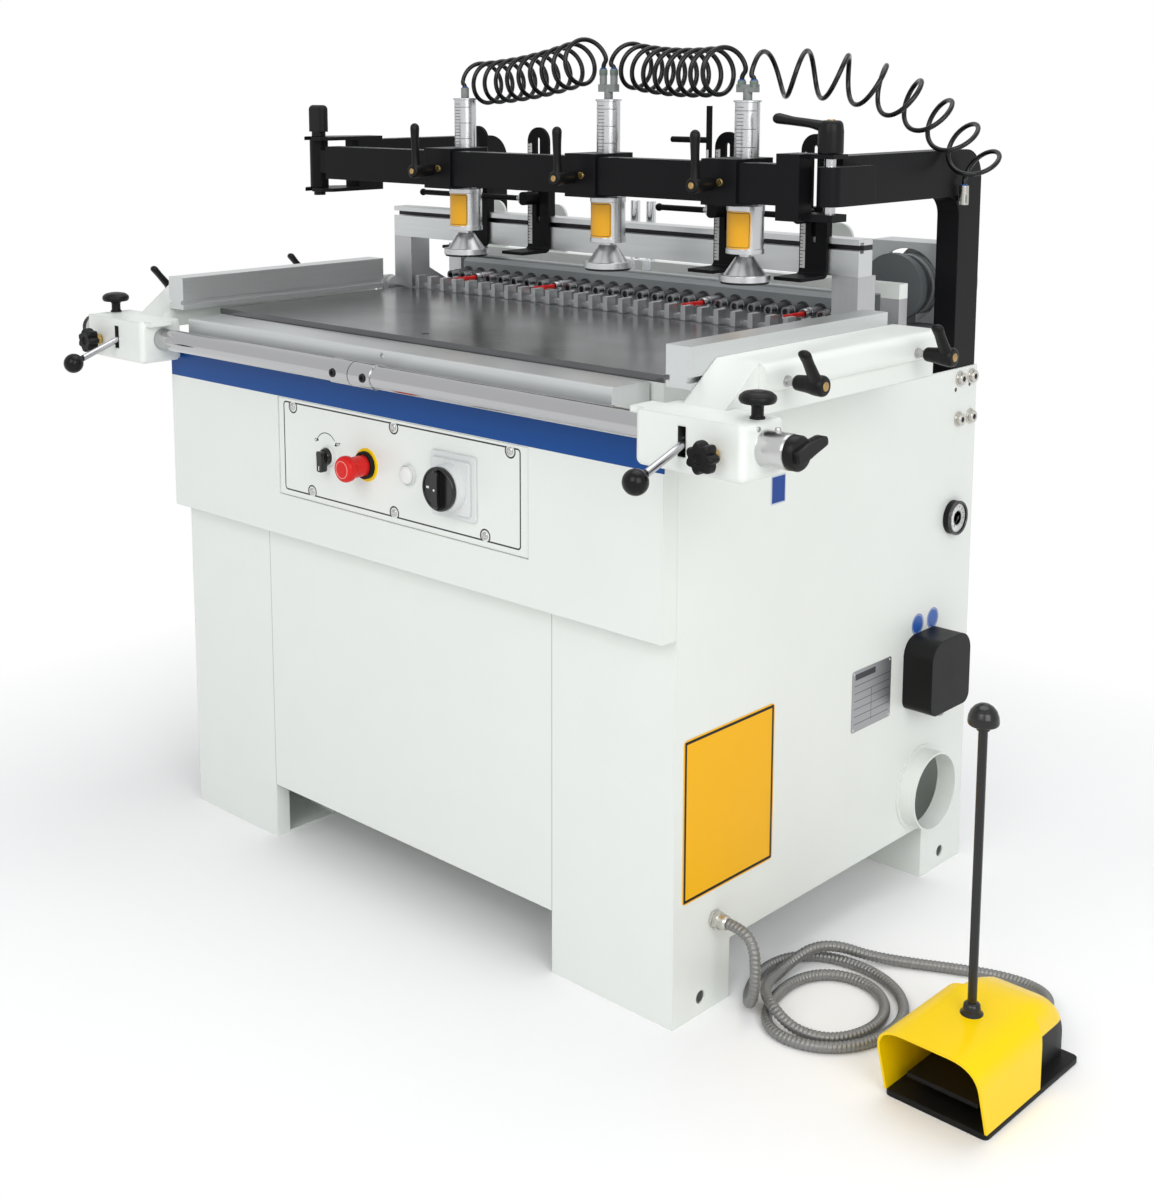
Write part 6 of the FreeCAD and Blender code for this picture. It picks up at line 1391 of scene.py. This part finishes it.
class MakeSideControls(bpy.types.Operator):
    """Lobed star knobs of both side units, with their brass studs"""
    bl_idname = "boring_machine.side_controls"
    bl_label = "Star knobs"

    def execute(self, context):
        colours = context.scene.machine_colours
        brass = metal("brass_stud", (0.62, 0.42, 0.14), 0.22, edge=0.4)
        black = plastic("star_black", colours.plastic, 0.36, 0.8)
        lobe_depth = 0.30
        for side, (start, way) in CASTINGS.items():
            shell = Shell()
            centre = np.array((start + 132 * way, -106.0, 802.0))
            turned(shell, [(5.6, -19.0), (6.0, -18.4), (6.0, 10.0)], centre, FRONT, 32, 1)
            turned(shell, [(8.6, 3.0), (9.2, 3.6), (9.2, 9.6), (8.4, 10.4)], centre, FRONT,
                   32, 1)
            profile = soften([(9.0, 10.2), (12.0, 12.0), (18.2, 13.0), (20.0, 17.0),
                              (20.0, 27.0), (17.4, 31.6), (7.4, 30.6), (6.6, 31.2),
                              (6.4, 28.6), (0.6, 28.4)], 1.8, 3, False)
            # Seven lobes: radius = profile * (1 - depth * swell * (1 - |cos(3.5 angle)|) ^ 0.8)
            swell = np.clip((profile[:, :1] - 8) / 12, 0, 1)
            angle = angles(84)
            lobes = (1 - np.abs(np.cos(3.5 * angle))) ** 0.8
            radius = profile[:, :1] * (1 - lobe_depth * swell * lobes)
            shell.grid(round_axis(radius, profile[:, 1], centre, FRONT, angle), wrap=True,
                       ends=True)
            shell.piece("star_%s_lobed" % side, "star_" + side, [black, brass],
                        "black_plastic", ("star_knob_" + side,))
        return {"FINISHED"}


class MakePressorDetails(bpy.types.Operator):
    """Push-in fittings at the ends of the air hoses"""
    bl_idname = "boring_machine.pressor_details"
    bl_label = "Pressor fittings"

    def execute(self, context):
        green = plastic("fitting_green", (0.16, 0.20, 0.17), 0.40, 0.6)
        blue = plastic("release_ring", (0.02, 0.09, 0.30), 0.36, 0.3)
        ends = {
            "column_1": [(-190, 1206)],
            "column_2": [(108, 1233.5), (129, 1233.5)],
            "column_3": [(364.5, 1216.5), (385.5, 1216.5)],
        }
        for body, spots in ends.items():
            shell = Shell()
            for x, z in spots:
                spot = (x, PRESSOR_Y, z)
                turned(shell, [(5.6, -9.0), (6.1, -8.4), (6.1, -1.2), (5.4, -0.4)], spot, UP,
                       32)
                turned(shell, [(3.9, -0.6), (5.0, -0.2), (5.0, 1.2), (4.2, 1.8)], spot, UP,
                       28, 1)
            shell.piece("fitting_" + body, body, [green, blue], "grey_plastic")

        shell = Shell()
        spot = (529, 645, 1064)
        turned(shell, [(6.6, -26), (7.5, -25), (7.5, -14), (6.9, -13.4), (6.9, -4),
                       (6.2, -1.0), (4.2, 0.4)], spot, UP, 6)
        turned(shell, [(3.9, -0.6), (5.0, -0.2), (5.0, 1.6), (4.2, 2.2)], spot, UP, 28, 1)
        shell.piece("fitting_mast", "base", [green, blue], "grey_plastic")
        return {"FINISHED"}


# Stage

# The camera that was fitted to the photograph: pixels, machine millimetres and degrees
PHOTO_WIDE, PHOTO_HIGH = 1154, 1200
FOCAL = 1700.027
CENTRE_X, CENTRE_Y = 534.002, 350.0
CAMERA = (1813.559, -1586.177, 1216.726)
YAW, PITCH, ROLL = 44.10448, 8.99452, -0.12825
SENSOR = 36.0

# Name, place in metres, size and power of each lamp, and the point they face
LAMPS = (("key", (1.2, -4.2, 3.4), 2.6, 74), ("fill", (3.6, -1.6, 2.4), 2.4, 66),
         ("top", (0.2, 0.6, 4.4), 3.0, 56))
AIM = (0.1, 0.0, 0.5)


class MakeStage(bpy.types.Operator):
    """Pale floor, soft studio light and the camera"""
    bl_idname = "boring_machine.stage"
    bl_label = "Stage"

    def execute(self, context):
        scene = context.scene
        scene.view_settings.view_transform = "Standard"
        mesh = bpy.data.meshes.new("floor")
        mesh.from_pydata([(-9, -9, 0), (9, -9, 0), (9, 9, 0), (-9, 9, 0)], [], [(0, 1, 2, 3)])
        floor = bpy.data.objects.new("floor", mesh)
        scene.collection.objects.link(floor)
        pale = Finish("floor_pale", (0.95, 0.95, 0.95), 0.9)
        glow = pale.node("ShaderNodeEmission")
        across = (abs(pale.x - 200) - 740).most(0.0)
        along = (abs(pale.y - 330) - 480).most(0.0)
        away = (across * across + along * along).root()
        mix = pale.node("ShaderNodeMixShader")
        pale.link(mix.inputs[0], ((away - 120) / 700).most(0.0).least(1.0))
        pale.tree.links.new(pale.shader.outputs[0], mix.inputs[1])
        pale.tree.links.new(glow.outputs[0], mix.inputs[2])
        out = pale.tree.nodes["Material Output"]
        pale.tree.links.new(mix.outputs[0], out.inputs["Surface"])
        mesh.materials.append(pale.material)

        world = bpy.data.worlds.new("studio")
        scene.world = world
        world.use_nodes = True
        tree = world.node_tree
        soft = tree.nodes["Background"]
        soft.inputs["Color"].default_value = (0.96, 0.98, 1.0, 1.0)
        soft.inputs["Strength"].default_value = 0.50
        seen = tree.nodes.new("ShaderNodeBackground")
        seen.inputs["Color"].default_value = (1.0, 1.0, 1.0, 1.0)
        seen.inputs["Strength"].default_value = 1.0
        path = tree.nodes.new("ShaderNodeLightPath")
        mix = tree.nodes.new("ShaderNodeMixShader")
        bright = (Field(tree, path.outputs["Is Camera Ray"])
                  + Field(tree, path.outputs["Is Transmission Ray"])
                  + Field(tree, path.outputs["Is Glossy Ray"]) * 0.6).least(1.0)
        tree.links.new(bright.socket, mix.inputs[0])
        tree.links.new(soft.outputs[0], mix.inputs[1])
        tree.links.new(seen.outputs[0], mix.inputs[2])
        tree.links.new(mix.outputs[0], tree.nodes["World Output"].inputs["Surface"])

        for name, place, size, power in LAMPS:
            lamp = bpy.data.lights.new(name, "AREA")
            lamp.energy = power
            lamp.size = size
            made = bpy.data.objects.new(name, lamp)
            # A lamp shines along its own -Z, so its Z axis points away from the aim
            first, second, along = basis(np.array(place) - np.array(AIM))
            made.matrix_world = matrix_of(first, second, along, place)
            scene.collection.objects.link(made)

        yaw, pitch, roll = (math.radians(a) for a in (YAW, PITCH, ROLL))
        ahead = np.array((-math.sin(yaw) * math.cos(pitch),
                          math.cos(yaw) * math.cos(pitch), -math.sin(pitch)))
        right = np.array((math.cos(yaw), math.sin(yaw), 0.0))
        up = np.cross(right, ahead)
        level = right * math.cos(roll) + up * math.sin(roll)
        rise = up * math.cos(roll) - right * math.sin(roll)
        view = bpy.data.cameras.new("camera")
        view.sensor_fit = "VERTICAL"
        view.sensor_height = view.sensor_width = SENSOR
        view.lens = FOCAL / PHOTO_HIGH * SENSOR
        view.shift_x = (PHOTO_WIDE / 2 - CENTRE_X) / PHOTO_HIGH
        view.shift_y = (CENTRE_Y - PHOTO_HIGH / 2) / PHOTO_HIGH
        view.clip_end = 60
        made = bpy.data.objects.new("camera", view)
        made.matrix_world = matrix_of(level, rise, -ahead, metres(CAMERA))
        scene.collection.objects.link(made)
        scene.camera = made
        return {"FINISHED"}


def matrix_of(first, second, third, place):
    """A matrix whose columns are three directions and a place."""
    columns = [list(v) + [0.0] for v in (first, second, third)] + [list(place) + [1.0]]
    return Matrix(columns).transposed()


class BoringMachinePanel(bpy.types.Panel):
    """Sizes, colours and pieces of the machine"""
    bl_idname = "VIEW3D_PT_boring_machine"
    bl_label = "Boring machine"
    bl_space_type = "VIEW_3D"
    bl_region_type = "UI"
    bl_category = "Boring machine"

    def draw(self, context):
        for group in (context.scene.machine_sizes, context.scene.machine_colours):
            column = self.layout.column(align=True)
            for name in type(group).__annotations__:
                column.prop(group, name)
        for piece in PIECES:
            self.layout.operator(piece.bl_idname)


PIECES = (MakeStage, MakeFinishes, MakeConduit, MakeAirHoses, MakeBits, MakeSideLabels,
          MakeGauge, MakeSideFasteners, MakeControls, MakeCastings, MakeSideControls,
          MakeClampLevers, MakePedal, MakePressorDetails)
CLASSES = (BoringMachineSizes, BoringMachineColours) + PIECES + (BoringMachinePanel,)


def register():
    for kind in CLASSES:
        bpy.utils.register_class(kind)
    bpy.types.Scene.machine_sizes = PointerProperty(type=BoringMachineSizes)
    bpy.types.Scene.machine_colours = PointerProperty(type=BoringMachineColours)


def unregister():
    del bpy.types.Scene.machine_colours
    del bpy.types.Scene.machine_sizes
    for kind in reversed(CLASSES):
        bpy.utils.unregister_class(kind)


def main():
    register()
    for piece in PIECES:
        group, name = piece.bl_idname.split(".")
        getattr(getattr(bpy.ops, group), name)()


if __name__ == "__main__":
    main()
